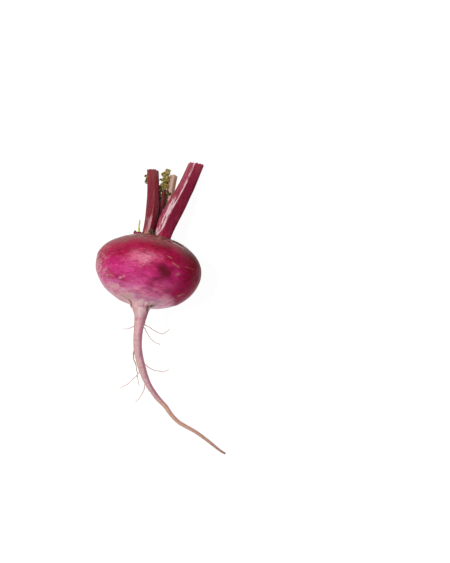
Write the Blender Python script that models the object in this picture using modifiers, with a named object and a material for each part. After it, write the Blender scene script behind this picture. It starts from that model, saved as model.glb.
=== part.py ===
"""A flat, red-skinned turnip that lies on its side, with its tap root and its cut leaf stalks.

Lengths in the tables are millimetres and the scene is in metres, +Z up. The origin is in the middle of the
small flat spot that the globe rests on. +Y runs towards the leaf stalks. +X is on the right of someone who
looks down on the turnip with its stalks pointing away.
"""

import math

import bmesh
import bpy
from mathutils import Matrix, Vector
from mathutils.geometry import interpolate_bezier

MM = 0.001
GAP = 0.3
WELD = 1e-6

# The globe: a flattened ball, with a deeper and slightly squarer half at the root end
GLOBE_RADIUS = 37.1
CROWN_HALF_HEIGHT = 19.8
ROOT_HALF_HEIGHT = 27.2
ROOT_SQUARENESS = 2.1
CROWN_SCAR_RADIUS = 5.0
UNDERSIDE_TURN = math.radians(158)
NECK_HEIGHT = -32.6
NECK_RADIUS = 5.0
NECK_TAPER = 0.12
NECK_HANDLES = (5.0, 6.0)
CROWN_STEPS = 10
ROOT_STEPS = 8
NECK_STEPS = 8
GLOBE_SIDES = 28

# How the globe lies: the crown dips below the horizontal and leans to the right
CROWN_DIP = math.radians(20)
CROWN_LEAN = math.radians(9.3)
SPOT_DEPTH = 0.9

# A grown thing is never quite round: twofold and threefold swelling of the globe, as shares of its radius
SWELL_TWO = -0.011
SWELL_THREE = -0.012

# The tap root after the neck: place and radius. It arches up, over and down to the surface.
TAP_ROOT = (
    (-4.4, -27.6, 47.0, 4.0),
    (-5.4, -34.5, 47.6, 3.2),
    (-6.0, -41.4, 47.2, 3.0),
    (-5.9, -48.4, 45.6, 2.95),
    (-4.7, -55.4, 43.0, 2.85),
    (-2.6, -63.6, 39.2, 2.65),
    (0.1, -71.5, 35.2, 2.2),
    (3.6, -77.9, 31.6, 1.95),
    (7.3, -83.2, 28.4, 1.85),
    (12.4, -89.2, 24.8, 1.65),
    (16.4, -95.2, 21.4, 1.5),
    (20.8, -100.2, 18.2, 1.45),
    (25.8, -103.6, 15.6, 1.4),
    (34.2, -108.9, 11.8, 1.35),
    (42.0, -115.0, 7.8, 1.25),
    (50.1, -122.0, 3.4, 1.0),
    (54.3, -124.8, 1.6, 0.8),
)

# Side rootlets, each from inside the tap root out to its tip
ROOTLETS = (
    ((-4.8, -29.6, 46.9), (-1.8, -30.8, 46.0), (1.5, -32.6, 44.5), (5.3, -35.1, 42.0), (9.2, -37.0, 39.5),
     (11.9, -37.0, 38.0), (14.3, -35.7, 37.0), (15.9, -34.4, 36.5)),
    ((-5.0, -31.5, 47.0), (-1.4, -33.2, 46.0), (-0.2, -36.0, 44.0), (2.1, -39.9, 41.0), (5.1, -43.0, 38.0),
     (9.0, -45.4, 35.0)),
    ((-5.8, -31.6, 47.4), (-8.6, -32.0, 46.5), (-12.4, -33.6, 44.5), (-16.9, -33.9, 42.0)),
    ((-6.2, -45.5, 46.2), (-8.6, -49.0, 44.6), (-9.2, -53.4, 42.0), (-8.2, -57.5, 39.6), (-7.2, -62.0, 37.0),
     (-6.8, -68.0, 33.5), (-5.8, -73.9, 30.0)),
    ((-3.4, -62.2, 39.6), (-6.6, -65.6, 36.2), (-9.9, -69.5, 33.0), (-13.7, -72.8, 30.0), (-19.2, -76.2, 26.0)),
    ((-4.2, -57.6, 42.0), (-1.0, -58.9, 41.0), (1.2, -60.7, 39.5), (3.9, -62.4, 37.5), (7.0, -63.5, 35.5),
     (9.8, -64.0, 34.0), (12.9, -63.5, 33.0), (15.1, -62.1, 32.5)),
    ((0.0, -70.6, 35.6), (-1.7, -73.0, 33.6), (-2.6, -76.3, 31.5), (-4.0, -80.1, 28.5), (-6.2, -83.1, 26.0),
     (-9.0, -86.3, 23.0)),
    ((1.4, -74.0, 34.0), (1.3, -76.2, 32.4), (0.6, -77.9, 30.2)),
)
ROOTLET_RADII = (0.75, 0.3)
ROOTLET_SIDES = 6

# Stalks, each from inside the crown out past its cut end: place and half width
STALK_RIGHT = (
    (7.8, 20.5, 32.8, 5.2),
    (9.6, 26.5, 30.4, 5.7),
    (11.4, 33.7, 27.2, 6.2),
    (14.6, 42.3, 23.2, 6.8),
    (18.8, 50.6, 19.3, 6.6),
    (23.3, 59.4, 15.2, 6.05),
    (27.7, 68.5, 10.9, 5.75),
    (33.8, 83.5, 3.9, 5.45),
    (36.0, 89.0, 1.3, 5.4),
)
STALK_LEFT = (
    (-2.2, 20.5, 31.6, 3.4),
    (-1.1, 26.5, 29.4, 3.6),
    (0.2, 33.5, 26.0, 3.8),
    (1.7, 41.3, 21.8, 4.15),
    (2.9, 51.0, 17.0, 4.6),
    (3.2, 60.0, 12.6, 4.35),
    (3.0, 69.0, 8.3, 4.2),
    (2.5, 79.0, 3.6, 4.15),
    (2.2, 84.0, 1.2, 4.1),
)
STALK_LEAFY = (
    (3.2, 20.0, 24.6, 2.2),
    (4.0, 27.0, 22.2, 2.1),
    (4.9, 33.5, 19.8, 1.9),
    (5.8, 42.0, 16.0, 1.9),
    (6.9, 46.6, 14.2, 1.9),
    (8.7, 51.5, 12.6, 1.85),
    (10.3, 57.0, 11.2, 1.75),
    (10.7, 61.0, 9.9, 1.7),
)
STALK_REAR = (
    (11.3, 22.0, 20.2, 3.0),
    (12.1, 30.0, 17.0, 2.8),
    (13.3, 45.0, 10.9, 2.8),
    (14.4, 57.0, 7.0, 2.8),
    (15.7, 66.5, 4.6, 2.85),
    (17.3, 75.1, 2.8, 2.85),
    (18.3, 81.0, 1.6, 2.8),
)
CROWN_STUB = (
    (-6.8, 21.5, 33.0, 2.4),
    (-6.8, 28.5, 31.8, 2.4),
    (-6.8, 36.5, 30.9, 2.4),
)
STUB_STEM = (
    (-6.1, 33.9, 31.1, 0.6),
    (-5.8, 38.0, 31.2, 0.55),
    (-5.5, 42.2, 31.3, 0.4),
)

# Where each cut end is and which way it faces
RIGHT_CUT = ((33.4, 82.6, 4.3), (0.16, 0.95, -0.27))
LEFT_CUT = ((2.5, 78.2, 4.0), (0.1, 0.95, -0.3))
REAR_CUT = ((17.2, 74.5, 2.9), (0.05, 0.95, -0.25))
STUB_CUT = ((-6.8, 33.2, 31.0), (0.45, 0.85, 0.2))

# A stalk's section: ridges round a flattened circle
SECTION_SIDES = 20
RIDGE_COUNT = 5
RIDGE_DEPTH = 0.05

# The torn leaf, as strips along a vein: place and half width
LEAF_THICKNESS = 0.8
LEAF_TIP = (
    (10.9, 63.2, 9.2, 2.2),
    (11.3, 68.5, 8.0, 3.0),
    (11.7, 73.0, 7.0, 3.3),
    (12.6, 77.0, 6.4, 2.9),
    (14.8, 80.2, 6.2, 0.9),
)
LEAF_LEFT_LOBE = (
    (11.0, 65.6, 8.4, 1.4),
    (7.4, 66.6, 4.4, 2.2),
    (3.4, 68.8, 1.8, 2.6),
    (-0.2, 71.4, 1.5, 3.3),
    (-3.0, 75.0, 2.9, 2.4),
)
LEAF_RIGHT_LOBE = (
    (11.0, 64.6, 9.0, 1.0),
    (12.8, 62.6, 9.7, 1.3),
    (14.6, 60.6, 10.1, 0.9),
)
VEIN_RADII = (1.3, 0.6)
LEAF_STEPS_ACROSS = 4
RUFFLE_HEIGHT = 0.55
RUFFLE_STAGGER = 2.2
LOBE_DEPTH = 0.28
LOBE_COUNT = 5
LOBE_STAGGER = math.pi / 2

WITHERED_LEAF = (
    (0.4, 25.0, 33.2, 1.4),
    (1.0, 29.5, 34.2, 2.2),
    (1.9, 32.8, 34.5, 2.2),
    (2.7, 35.0, 34.3, 0.8),
)

# The dry fibre on the shoulder, in the globe's own terms: azimuth in degrees, height along the axis
DRY_FIBRE = ((-63, 11.2), (-59, 10.6), (-55, 9.8), (-51, 8.8))
FIBRE_RADIUS = 0.4

SKIN_RED = (0.46, 0.02, 0.13, 1)
STALK_RED = (0.33, 0.03, 0.09, 1)
DARK_RED = (0.17, 0.03, 0.06, 1)
PALE_PINK = (0.60, 0.36, 0.32, 1)
LEAF_GREEN = (0.20, 0.19, 0.04, 1)
STEM_GREEN = (0.58, 0.56, 0.14, 1)
WITHERED_TAN = (0.26, 0.18, 0.07, 1)
FIBRE_BROWN = (0.10, 0.07, 0.04, 1)


def globe_profile(grown=0.0):
    """(height, radius) from the crown's scar to the end of the neck.

    The crown half is an ellipse and the root half a superellipse, which a cubic Bezier leads into the neck.
    """
    radius = GLOBE_RADIUS + grown
    power = 2 / ROOT_SQUARENESS
    profile = []
    first = math.asin((CROWN_SCAR_RADIUS + grown) / radius)
    for step in range(CROWN_STEPS):
        turn = first + (math.pi / 2 - first) * step / CROWN_STEPS
        profile.append(((CROWN_HALF_HEIGHT + grown) * math.cos(turn), radius * math.sin(turn)))
    for step in range(ROOT_STEPS + 1):
        turn = math.pi / 2 + (UNDERSIDE_TURN - math.pi / 2) * step / ROOT_STEPS
        height = -(ROOT_HALF_HEIGHT + grown) * abs(math.cos(turn)) ** power
        profile.append((height, radius * math.sin(turn) ** power))
    start, before = Vector(profile.pop()), Vector(profile[-1])
    end = Vector((NECK_HEIGHT, NECK_RADIUS + grown))
    from_globe = start + NECK_HANDLES[0] * (start - before).normalized()
    from_neck = end + NECK_HANDLES[1] * Vector((1, NECK_TAPER)).normalized()
    neck = interpolate_bezier(start, from_globe, from_neck, end, NECK_STEPS)
    return profile + [tuple(point) for point in neck]


def globe_place():
    """The globe's frame: its axis along local Z with the crown up, local -Y facing up in the world.

    The lowest point of the dipping ellipse, in closed form, lies SPOT_DEPTH under the origin.
    """
    turn = Matrix.Rotation(-CROWN_LEAN, 3, "Z") @ Matrix.Rotation(-(math.pi / 2 + CROWN_DIP), 3, "X")
    out, along = GLOBE_RADIUS * math.cos(CROWN_DIP), CROWN_HALF_HEIGHT * math.sin(CROWN_DIP)
    reach = math.hypot(out, along)
    lowest = Vector((0, GLOBE_RADIUS * out, CROWN_HALF_HEIGHT * along)) / reach
    centre = -(turn @ lowest) - Vector((0, 0, SPOT_DEPTH))
    return Matrix.Translation(centre) @ turn.to_4x4()


def half_height(height):
    """The globe's half height on the side of its equator that this height is on."""
    return CROWN_HALF_HEIGHT if height > 0 else ROOT_HALF_HEIGHT


def swell(azimuth, height):
    """How much wider than round the globe is at this azimuth, fading to nothing at the crown and the neck."""
    belly = max(0.0, 1 - (height / half_height(height)) ** 2)
    return 1 + belly * (SWELL_TWO * math.sin(2 * azimuth) + SWELL_THREE * math.cos(3 * azimuth))


def smooth(stations, steps):
    """Stations on the Catmull-Rom curve through the given ones, steps to a span. The radius rides along."""
    rows = [Vector(row) for row in stations]
    rows = [2 * rows[0] - rows[1], *rows, 2 * rows[-1] - rows[-2]]
    out = []
    for before, start, end, after in zip(rows, rows[1:], rows[2:], rows[3:]):
        for step in range(steps):
            t = step / steps
            out.append(
                0.5 * (2 * start + (end - before) * t + (2 * before - 5 * start + 4 * end - after) * t**2
                       + (3 * start - before - 3 * end + after) * t**3)
            )
    return [tuple(row) for row in out + [rows[-2]]]


def ridged_section(name, flatness, first_ridge):
    """A closed outline of radius 1 mm, for a curve's bevel object: ridges round a flattened circle."""
    curve = bpy.data.curves.new(name, "CURVE")
    spline = curve.splines.new("POLY")
    spline.points.add(SECTION_SIDES - 1)
    spline.use_cyclic_u = True
    for index, point in enumerate(spline.points):
        angle = 2 * math.pi * index / SECTION_SIDES
        reach = MM * (1 + RIDGE_DEPTH * math.cos(RIDGE_COUNT * (angle - first_ridge)))
        point.co = (reach * math.cos(angle), reach * flatness * math.sin(angle), 0, 1)
    section = bpy.data.objects.new(name, curve)
    helpers.objects.link(section)
    section.hide_render = True
    section.display_type = "WIRE"
    return section


def tube(name, stations, sides=8, section=None):
    """A closed mesh along stations of (x, y, z, radius): round, or with the outline of a section object."""
    curve = bpy.data.curves.new(name, "CURVE")
    curve.dimensions = "3D"
    curve.use_fill_caps = True
    if section:
        curve.twist_mode = "Z_UP"
        curve.bevel_mode = "OBJECT"
        curve.bevel_object = section
    else:
        curve.bevel_depth = MM
        curve.bevel_resolution = (sides - 4) // 2
    spline = curve.splines.new("POLY")
    spline.points.add(len(stations) - 1)
    for point, (x, y, z, radius) in zip(spline.points, stations):
        point.co = (x * MM, y * MM, z * MM, 1)
        point.radius = radius
    path = bpy.data.objects.new(name, curve)
    helpers.objects.link(path)
    graph = bpy.context.evaluated_depsgraph_get()
    mesh = bpy.data.meshes.new_from_object(path.evaluated_get(graph))
    bpy.data.objects.remove(path)
    bpy.data.curves.remove(curve)
    close_mesh(mesh)
    obj = bpy.data.objects.new(name, mesh)
    parts.objects.link(obj)
    return obj


def close_mesh(mesh):
    """Welds the mesh's seams and turns its faces outwards."""
    work = bmesh.new()
    work.from_mesh(mesh)
    bmesh.ops.remove_doubles(work, verts=work.verts, dist=WELD)
    bmesh.ops.recalc_face_normals(work, faces=work.faces)
    work.to_mesh(mesh)
    work.free()


def cut_flat(obj, point, normal):
    """Cuts away what lies beyond the plane and closes the cut with one flat face."""
    work = bmesh.new()
    work.from_mesh(obj.data)
    everything = work.verts[:] + work.edges[:] + work.faces[:]
    bmesh.ops.bisect_plane(
        work,
        geom=everything,
        plane_co=Vector(point) * MM,
        plane_no=Vector(normal).normalized(),
        clear_outer=True,
    )
    rim = [edge for edge in work.edges if edge.is_boundary]
    if rim:
        bmesh.ops.edgeloop_fill(work, edges=rim)
    bmesh.ops.recalc_face_normals(work, faces=work.faces)
    work.to_mesh(obj.data)
    work.free()


def apply_modifiers(obj):
    """Replaces the object's mesh with the evaluated one."""
    graph = bpy.context.evaluated_depsgraph_get()
    mesh = bpy.data.meshes.new_from_object(obj.evaluated_get(graph))
    obj.modifiers.clear()
    obj.data = mesh


def join_all(target, others, solver="EXACT"):
    """Joins the others to the target by one Boolean union on a collection, and removes them."""
    group = bpy.data.collections.new(target.name + "_growth")
    helpers.children.link(group)
    for other in others:
        parts.objects.unlink(other)
        group.objects.link(other)
    union = target.modifiers.new("union", "BOOLEAN")
    union.operation = "UNION"
    union.operand_type = "COLLECTION"
    union.collection = group
    union.solver = solver
    apply_modifiers(target)
    for other in others:
        bpy.data.objects.remove(other)
    bpy.data.collections.remove(group)


def foot_on_crown(obj):
    """Shapes the foot of a stalk to the crown that it grew from, a hair's breadth clear of it."""
    cut = obj.modifiers.new("foot", "BOOLEAN")
    cut.operation = "DIFFERENCE"
    cut.object = crown_cutter
    apply_modifiers(obj)


def finish(obj, colour, roughness):
    """Shades the object smooth and gives it its own material."""
    material = bpy.data.materials.new(obj.name)
    material.use_nodes = True
    shader = material.node_tree.nodes["Principled BSDF"]
    shader.inputs["Base Color"].default_value = colour
    shader.inputs["Roughness"].default_value = roughness
    shader.inputs["Metallic"].default_value = 0.0
    obj.data.materials.clear()
    obj.data.materials.append(material)
    obj.data.shade_smooth()
    obj.data.set_sharp_from_angle(angle=math.radians(40))


def globe_stations(grown=0.0):
    """The globe's profile as stations along its axis in the world."""
    return [
        (*(GLOBE_PLACE @ Vector((0, 0, height))), radius)
        for height, radius in globe_profile(grown)
    ]


def swell_globe(obj):
    """Moves the globe's points out and in by the swell formula. Points beyond the neck stay."""
    back = GLOBE_PLACE.inverted()
    for vertex in obj.data.vertices:
        x, y, height = back @ (vertex.co / MM)
        if abs(height) < half_height(height):
            scale = swell(math.atan2(y, x), height)
            vertex.co = GLOBE_PLACE @ Vector((x * scale, y * scale, height)) * MM


def make_globe_and_root():
    """The globe and tap root as one tube of changing radius, with the rootlets joined to it."""
    tap_root = smooth([globe_stations()[-1], *TAP_ROOT], 2)[1:]
    body = tube("globe_and_root", globe_stations() + tap_root, GLOBE_SIDES)
    swell_globe(body)
    cut_flat(body, (0, 0, 0), (0, 0, -1))
    rootlets = []
    thick, thin = ROOTLET_RADII
    for index, points in enumerate(ROOTLETS):
        last = len(points) - 1
        tapered = [(*point, thick + (thin - thick) * step / last) for step, point in enumerate(points)]
        rootlets.append(tube(f"rootlet_{index}", smooth(tapered, 2), ROOTLET_SIDES))
    join_all(body, rootlets)
    finish(body, SKIN_RED, 0.35)


def make_crown_cutter():
    """A copy of the globe, grown by the gap, that shapes what stands on the crown."""
    cutter = tube("crown_cutter", globe_stations(GAP), GLOBE_SIDES)
    swell_globe(cutter)
    parts.objects.unlink(cutter)
    helpers.objects.link(cutter)
    cutter.hide_render = True
    cutter.display_type = "WIRE"
    return cutter


def make_stalk(name, stations, flatness, first_ridge, colour, cut=None):
    """A ridged stalk with its foot on the crown, its far end cut off flat and nothing below the surface."""
    section = ridged_section(name + "_section", flatness, math.radians(first_ridge))
    stalk = tube(name, smooth(stations, 2), section=section)
    if cut:
        cut_flat(stalk, *cut)
    cut_flat(stalk, (0, 0, 0), (0, 0, -1))
    foot_on_crown(stalk)
    finish(stalk, colour, 0.45)


def ruffled_strip(name, vein, lobes, steps=3):
    """A blade along a vein: its edges are scalloped into lobes and waved up and down by a sine.

    The sheet is split into triangles first, so that both faces of the thick blade have the same ones.
    """
    rows = smooth(vein, steps)
    work = bmesh.new()
    grid = []
    for index, (x, y, z, half_width) in enumerate(rows):
        here = Vector((x, y, z))
        ahead = Vector(rows[min(index + 1, len(rows) - 1)][:3]) - Vector(rows[max(index - 1, 0)][:3])
        side = ahead.cross(Vector((0, 0, 1))).normalized()
        up = side.cross(ahead).normalized()
        wave = 2 * math.pi * lobes * index / (len(rows) - 1)
        row = []
        for step in range(LEAF_STEPS_ACROSS + 1):
            across = 2 * step / LEAF_STEPS_ACROSS - 1
            scallop = 1 - LOBE_DEPTH * abs(across) * (1 + math.cos(wave + LOBE_STAGGER * across))
            lift = RUFFLE_HEIGHT * across**2 * math.sin(wave + RUFFLE_STAGGER * across)
            row.append(work.verts.new((here + side * half_width * across * scallop + up * lift) * MM))
        grid.append(row)
    for lower, upper in zip(grid, grid[1:]):
        for a, b, c, d in zip(lower, lower[1:], upper[1:], upper):
            work.faces.new((a, b, c, d))
    bmesh.ops.triangulate(work, faces=work.faces)
    mesh = bpy.data.meshes.new(name)
    work.to_mesh(mesh)
    work.free()
    sheet = bpy.data.objects.new(name, mesh)
    parts.objects.link(sheet)
    thicken = sheet.modifiers.new("thickness", "SOLIDIFY")
    thicken.thickness = LEAF_THICKNESS * MM
    thicken.offset = 0
    apply_modifiers(sheet)
    close_mesh(sheet.data)
    return sheet


def vein_tube(name, vein):
    """The rib of a strip, tapering along its vein."""
    thick, thin = VEIN_RADII
    last = len(vein) - 1
    tapered = [(*row[:3], thick + (thin - thick) * step / last) for step, row in enumerate(vein)]
    return tube(name, smooth(tapered, 2))


def make_leaf_remnant():
    """What is left of the thin stalk's leaf: the torn tip and two lobes at its base, joined in one body."""
    tip = ruffled_strip("leaf_remnant", LEAF_TIP, LOBE_COUNT)
    left = ruffled_strip("leaf_left_lobe", LEAF_LEFT_LOBE, LOBE_COUNT - 2)
    right = ruffled_strip("leaf_right_lobe", LEAF_RIGHT_LOBE, 1)
    veins = [vein_tube("leaf_vein", LEAF_TIP), vein_tube("lobe_vein", LEAF_LEFT_LOBE)]
    join_all(tip, [left, right, *veins], "MANIFOLD")
    finish(tip, LEAF_GREEN, 0.6)


def make_withered_leaf():
    """The dried scrap that stands on the crown between the two big stalks."""
    scrap = ruffled_strip("withered_leaf", WITHERED_LEAF, 2)
    foot_on_crown(scrap)
    finish(scrap, WITHERED_TAN, 0.8)


def make_dry_fibre():
    """A thin dry fibre that follows the globe's shoulder, clear of the skin."""
    stations = []
    for degrees, height in DRY_FIBRE:
        azimuth = math.radians(degrees)
        radius = GLOBE_RADIUS * math.sqrt(1 - (height / CROWN_HALF_HEIGHT) ** 2) * swell(azimuth, height)
        on_skin = Vector((radius * math.cos(azimuth), radius * math.sin(azimuth), height))
        steepness = (height / CROWN_HALF_HEIGHT**2) / (radius / GLOBE_RADIUS**2)
        outward = Vector((math.cos(azimuth), math.sin(azimuth), steepness)).normalized()
        stations.append((*(GLOBE_PLACE @ (on_skin + outward * (FIBRE_RADIUS + 2 * GAP))), FIBRE_RADIUS))
    fibre = tube("dry_fibre", smooth(stations, 3), ROOTLET_SIDES)
    finish(fibre, FIBRE_BROWN, 0.8)


for old in list(bpy.data.objects):
    bpy.data.objects.remove(old)
parts = bpy.data.collections.new("turnip")
helpers = bpy.data.collections.new("cutters")
bpy.context.scene.collection.children.link(parts)
bpy.context.scene.collection.children.link(helpers)
GLOBE_PLACE = globe_place()

make_globe_and_root()
crown_cutter = make_crown_cutter()
make_stalk("stalk_right", STALK_RIGHT, 0.8, 105, STALK_RED, RIGHT_CUT)
make_stalk("stalk_left", STALK_LEFT, 0.95, 60, STALK_RED, LEFT_CUT)
make_stalk("stalk_leafy", STALK_LEAFY, 1.0, 90, DARK_RED)
make_stalk("stalk_rear", STALK_REAR, 0.9, 80, PALE_PINK, REAR_CUT)
make_stalk("crown_stub", CROWN_STUB, 0.8, 90, DARK_RED, STUB_CUT)
stem = tube("stub_stem", smooth(STUB_STEM, 2), ROOTLET_SIDES)
finish(stem, STEM_GREEN, 0.5)
make_leaf_remnant()
make_withered_leaf()
make_dry_fibre()
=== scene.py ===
"""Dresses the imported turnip: fine grown surfaces over its solids, a pale studio and a camera.

Tables are in millimetres in the frame of the solids, and the meshes are made in metres. Azimuths go round the
globe's axis: 0 is on the right, -90 faces up and 180 is on the left. Heights go along the axis, and the crown
is on the positive side.
"""

import math

import bpy
import numpy as np
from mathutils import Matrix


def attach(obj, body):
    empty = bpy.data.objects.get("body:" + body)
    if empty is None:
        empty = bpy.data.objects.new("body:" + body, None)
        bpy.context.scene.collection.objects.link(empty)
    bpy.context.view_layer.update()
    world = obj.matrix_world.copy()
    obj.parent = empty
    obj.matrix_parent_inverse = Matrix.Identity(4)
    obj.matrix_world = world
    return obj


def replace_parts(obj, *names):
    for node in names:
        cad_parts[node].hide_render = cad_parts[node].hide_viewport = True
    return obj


bl_info = {
    "name": "Dressed Turnip",
    "version": (1, 0, 0),
    "blender": (4, 5, 0),
    "location": "View3D > Sidebar > Turnip",
    "description": "Grows the skin, rootlets, stalks and torn leaf of a red turnip over its solids",
    "category": "Add Mesh",
}

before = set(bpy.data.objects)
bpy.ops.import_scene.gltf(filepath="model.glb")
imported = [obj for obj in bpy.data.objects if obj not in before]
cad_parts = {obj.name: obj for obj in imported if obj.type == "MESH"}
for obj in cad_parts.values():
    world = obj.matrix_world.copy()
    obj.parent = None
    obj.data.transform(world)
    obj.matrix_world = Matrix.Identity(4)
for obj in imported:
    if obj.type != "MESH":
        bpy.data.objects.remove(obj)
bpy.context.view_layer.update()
MM = 0.001

# The globe, with the same sizes and lie as its solid
GLOBE_RADIUS = 37.1
CROWN_HALF_HEIGHT = 19.8
ROOT_HALF_HEIGHT = 27.2
ROOT_SQUARENESS = 2.1
UNDERSIDE_TURN = math.radians(158)
NECK_HEIGHT = -32.6
NECK_RADIUS = 5.0
NECK_TAPER = 0.12
NECK_HANDLES = (5.0, 6.0)
CROWN_DIP = math.radians(20)
CROWN_LEAN = math.radians(9.3)
SPOT_DEPTH = 0.9
SWELL_TWO = -0.011
SWELL_THREE = -0.012
CROWN_ROWS = 58
UNDERSIDE_ROWS = 62
NECK_ROWS = 22
SKIN_COLUMNS = 224

# Paths of the tap root, rootlets, stalks and leaf veins: each station is a place and, where it has a fourth
# number, the radius or half width there
TAP_ROOT = (
    (-4.4, -27.6, 47.0, 4.0), (-5.4, -34.5, 47.6, 3.2), (-6.0, -41.4, 47.2, 3.0), (-5.9, -48.4, 45.6, 2.95),
    (-4.7, -55.4, 43.0, 2.85), (-2.6, -63.6, 39.2, 2.65), (0.1, -71.5, 35.2, 2.2), (3.6, -77.9, 31.6, 1.95),
    (7.3, -83.2, 28.4, 1.85), (12.4, -89.2, 24.8, 1.65), (16.4, -95.2, 21.4, 1.5),
    (20.8, -100.2, 18.2, 1.45), (25.8, -103.6, 15.6, 1.4), (34.2, -108.9, 11.8, 1.25),
    (42.0, -115.0, 7.8, 1.15), (50.1, -122.0, 3.4, 0.92), (54.3, -124.8, 1.6, 0.75),
)

ROOTLETS = (
    ((-4.8, -29.6, 46.9), (-1.8, -30.8, 46.0), (1.5, -32.6, 44.5), (5.3, -35.1, 42.0), (9.2, -37.0, 39.5),
     (11.9, -37.0, 38.0), (14.3, -35.7, 37.0), (15.9, -34.4, 36.5)),
    ((-5.0, -31.5, 47.0), (-1.4, -33.2, 46.0), (-0.2, -36.0, 44.0), (2.1, -39.9, 41.0), (5.1, -43.0, 38.0),
     (9.0, -45.4, 35.0)),
    ((-5.8, -31.6, 47.4), (-8.6, -32.0, 46.5), (-12.4, -33.6, 44.5), (-16.9, -33.9, 42.0)),
    ((-6.2, -45.5, 46.2), (-8.6, -49.0, 44.6), (-9.2, -53.4, 42.0), (-8.2, -57.5, 39.6),
     (-7.2, -62.0, 37.0), (-6.8, -68.0, 33.5), (-5.8, -73.9, 30.0)),
    ((-3.4, -62.2, 39.6), (-6.6, -65.6, 36.2), (-9.9, -69.5, 33.0), (-13.7, -72.8, 30.0),
     (-19.2, -76.2, 26.0)),
    ((-4.2, -57.6, 42.0), (-1.0, -58.9, 41.0), (1.2, -60.7, 39.5), (3.9, -62.4, 37.5), (7.0, -63.5, 35.5),
     (9.8, -64.0, 34.0), (12.9, -63.5, 33.0), (15.1, -62.1, 32.5)),
    ((0.0, -70.6, 35.6), (-1.7, -73.0, 33.6), (-2.6, -76.3, 31.5), (-4.0, -80.1, 28.5), (-6.2, -83.1, 26.0),
     (-9.0, -86.3, 23.0)),
    ((1.4, -74.0, 34.0), (1.3, -76.2, 32.4), (0.6, -77.9, 30.2)),
)

DRY_ROOTLETS = (3, 7)

# Each stalk's path, its cut end with the way it faces, its ridges and its pale streaks of painted highlight.
# A ridge is (angle round the stalk, height, sharpness). Streaks are (place of the front ridge across the
# stalk, how far up the wide ones go, over how much of the stalk they narrow, width above, strength above). A
# stalk starts where crown_depth passes FOOT_DEPTH, and the rings of its pith shrink to and sink by the two
# rows of numbers.
STALK_RIGHT = (
    (7.8, 20.5, 32.8, 5.2), (9.6, 26.5, 30.4, 5.7), (11.4, 33.7, 27.2, 6.2), (14.6, 42.3, 23.2, 6.8),
    (18.8, 50.6, 19.3, 6.6), (23.3, 59.4, 15.2, 6.05), (27.7, 68.5, 10.9, 5.75), (33.8, 83.5, 3.9, 5.45),
    (36.0, 89.0, 1.3, 5.4),
)
STALK_LEFT = (
    (-2.2, 20.5, 31.6, 3.4), (-1.1, 26.5, 29.4, 3.6), (0.2, 33.5, 26.0, 3.8), (1.7, 41.3, 21.8, 4.15),
    (2.9, 51.0, 17.0, 4.6), (3.2, 60.0, 12.6, 4.35), (3.0, 69.0, 8.3, 4.2), (2.5, 79.0, 3.6, 4.15),
    (2.2, 84.0, 1.2, 4.1),
)
STALK_LEAFY = (
    (3.2, 20.0, 24.6, 2.2), (4.0, 27.0, 22.2, 2.1), (4.9, 33.5, 19.8, 1.9), (5.8, 42.0, 16.0, 1.9),
    (6.9, 46.6, 14.2, 1.9), (8.7, 51.5, 12.6, 1.85), (10.3, 57.0, 11.2, 1.75), (10.7, 61.0, 9.9, 1.7),
    (10.9, 64.5, 8.9, 1.6),
)
STALK_REAR = (
    (11.3, 22.0, 20.2, 3.0), (12.1, 30.0, 17.0, 2.8), (13.3, 45.0, 10.9, 2.8), (14.4, 57.0, 7.0, 2.8),
    (15.7, 66.5, 4.6, 2.85), (17.3, 75.1, 2.8, 2.85), (18.3, 81.0, 1.6, 2.8),
)
CROWN_STUB = (
    (-6.3, 21.5, 33.0, 2.8), (-6.3, 28.5, 31.8, 2.8), (-6.3, 36.5, 30.9, 2.8),
)
STUB_STEM = (
    (-6.1, 33.4, 31.0, 0.6), (-5.8, 38.0, 31.2, 0.55), (-5.5, 42.2, 31.3, 0.4),
)
RIGHT_CUT = ((33.4, 82.6, 4.3), (0.16, 0.95, -0.27))
LEFT_CUT = ((2.5, 78.2, 4.0), (0.1, 0.95, -0.3))
REAR_CUT = ((17.2, 74.5, 2.9), (0.05, 0.95, -0.25))
STUB_CUT = ((-6.6, 33.7, 31.0), (0.22, 0.92, 0.2))
LEAFY_CUT = ((10.8, 63.6, 9.2), (0.1, 0.95, -0.3))
RIGHT_RIDGES = ((99, 0.05, 60), (140, 0.03, 26))
LEFT_RIDGES = ((77, 0.03, 50), (120, 0.03, 24))
LEAFY_RIDGES = ((80, 0.08, 20),)
REAR_RIDGES = ((75, 0.05, 22), (30, 0.05, 20))
STUB_RIDGES = ((160, 0.25, 12),)
RIGHT_HIGHLIGHT_STREAKS = (-0.12, 0.44, 0.28, 0.28, 1.0)
LEFT_HIGHLIGHT_STREAKS = (0.2, 0.34, 0.05, 0.12, 0.25)
LEAFY_HIGHLIGHT_STREAKS = (-0.2, 0.05, 0.1, 0.12, 0.15)
REAR_HIGHLIGHT_STREAKS = (0.3, 0.05, 0.1, 0.5, 0.4)
STUB_HIGHLIGHT_STREAKS = (0.2, 0.05, 0.1, 0.15, 0.1)
FOOT_DEPTH = 0.72
PITH_SHRINK = (0.965, 0.90, 0.78, 0.6, 0.4, 0.2)
PITH_SINK = (0.05, 0.5, 0.65, 0.75, 0.8, 0.8)

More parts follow.
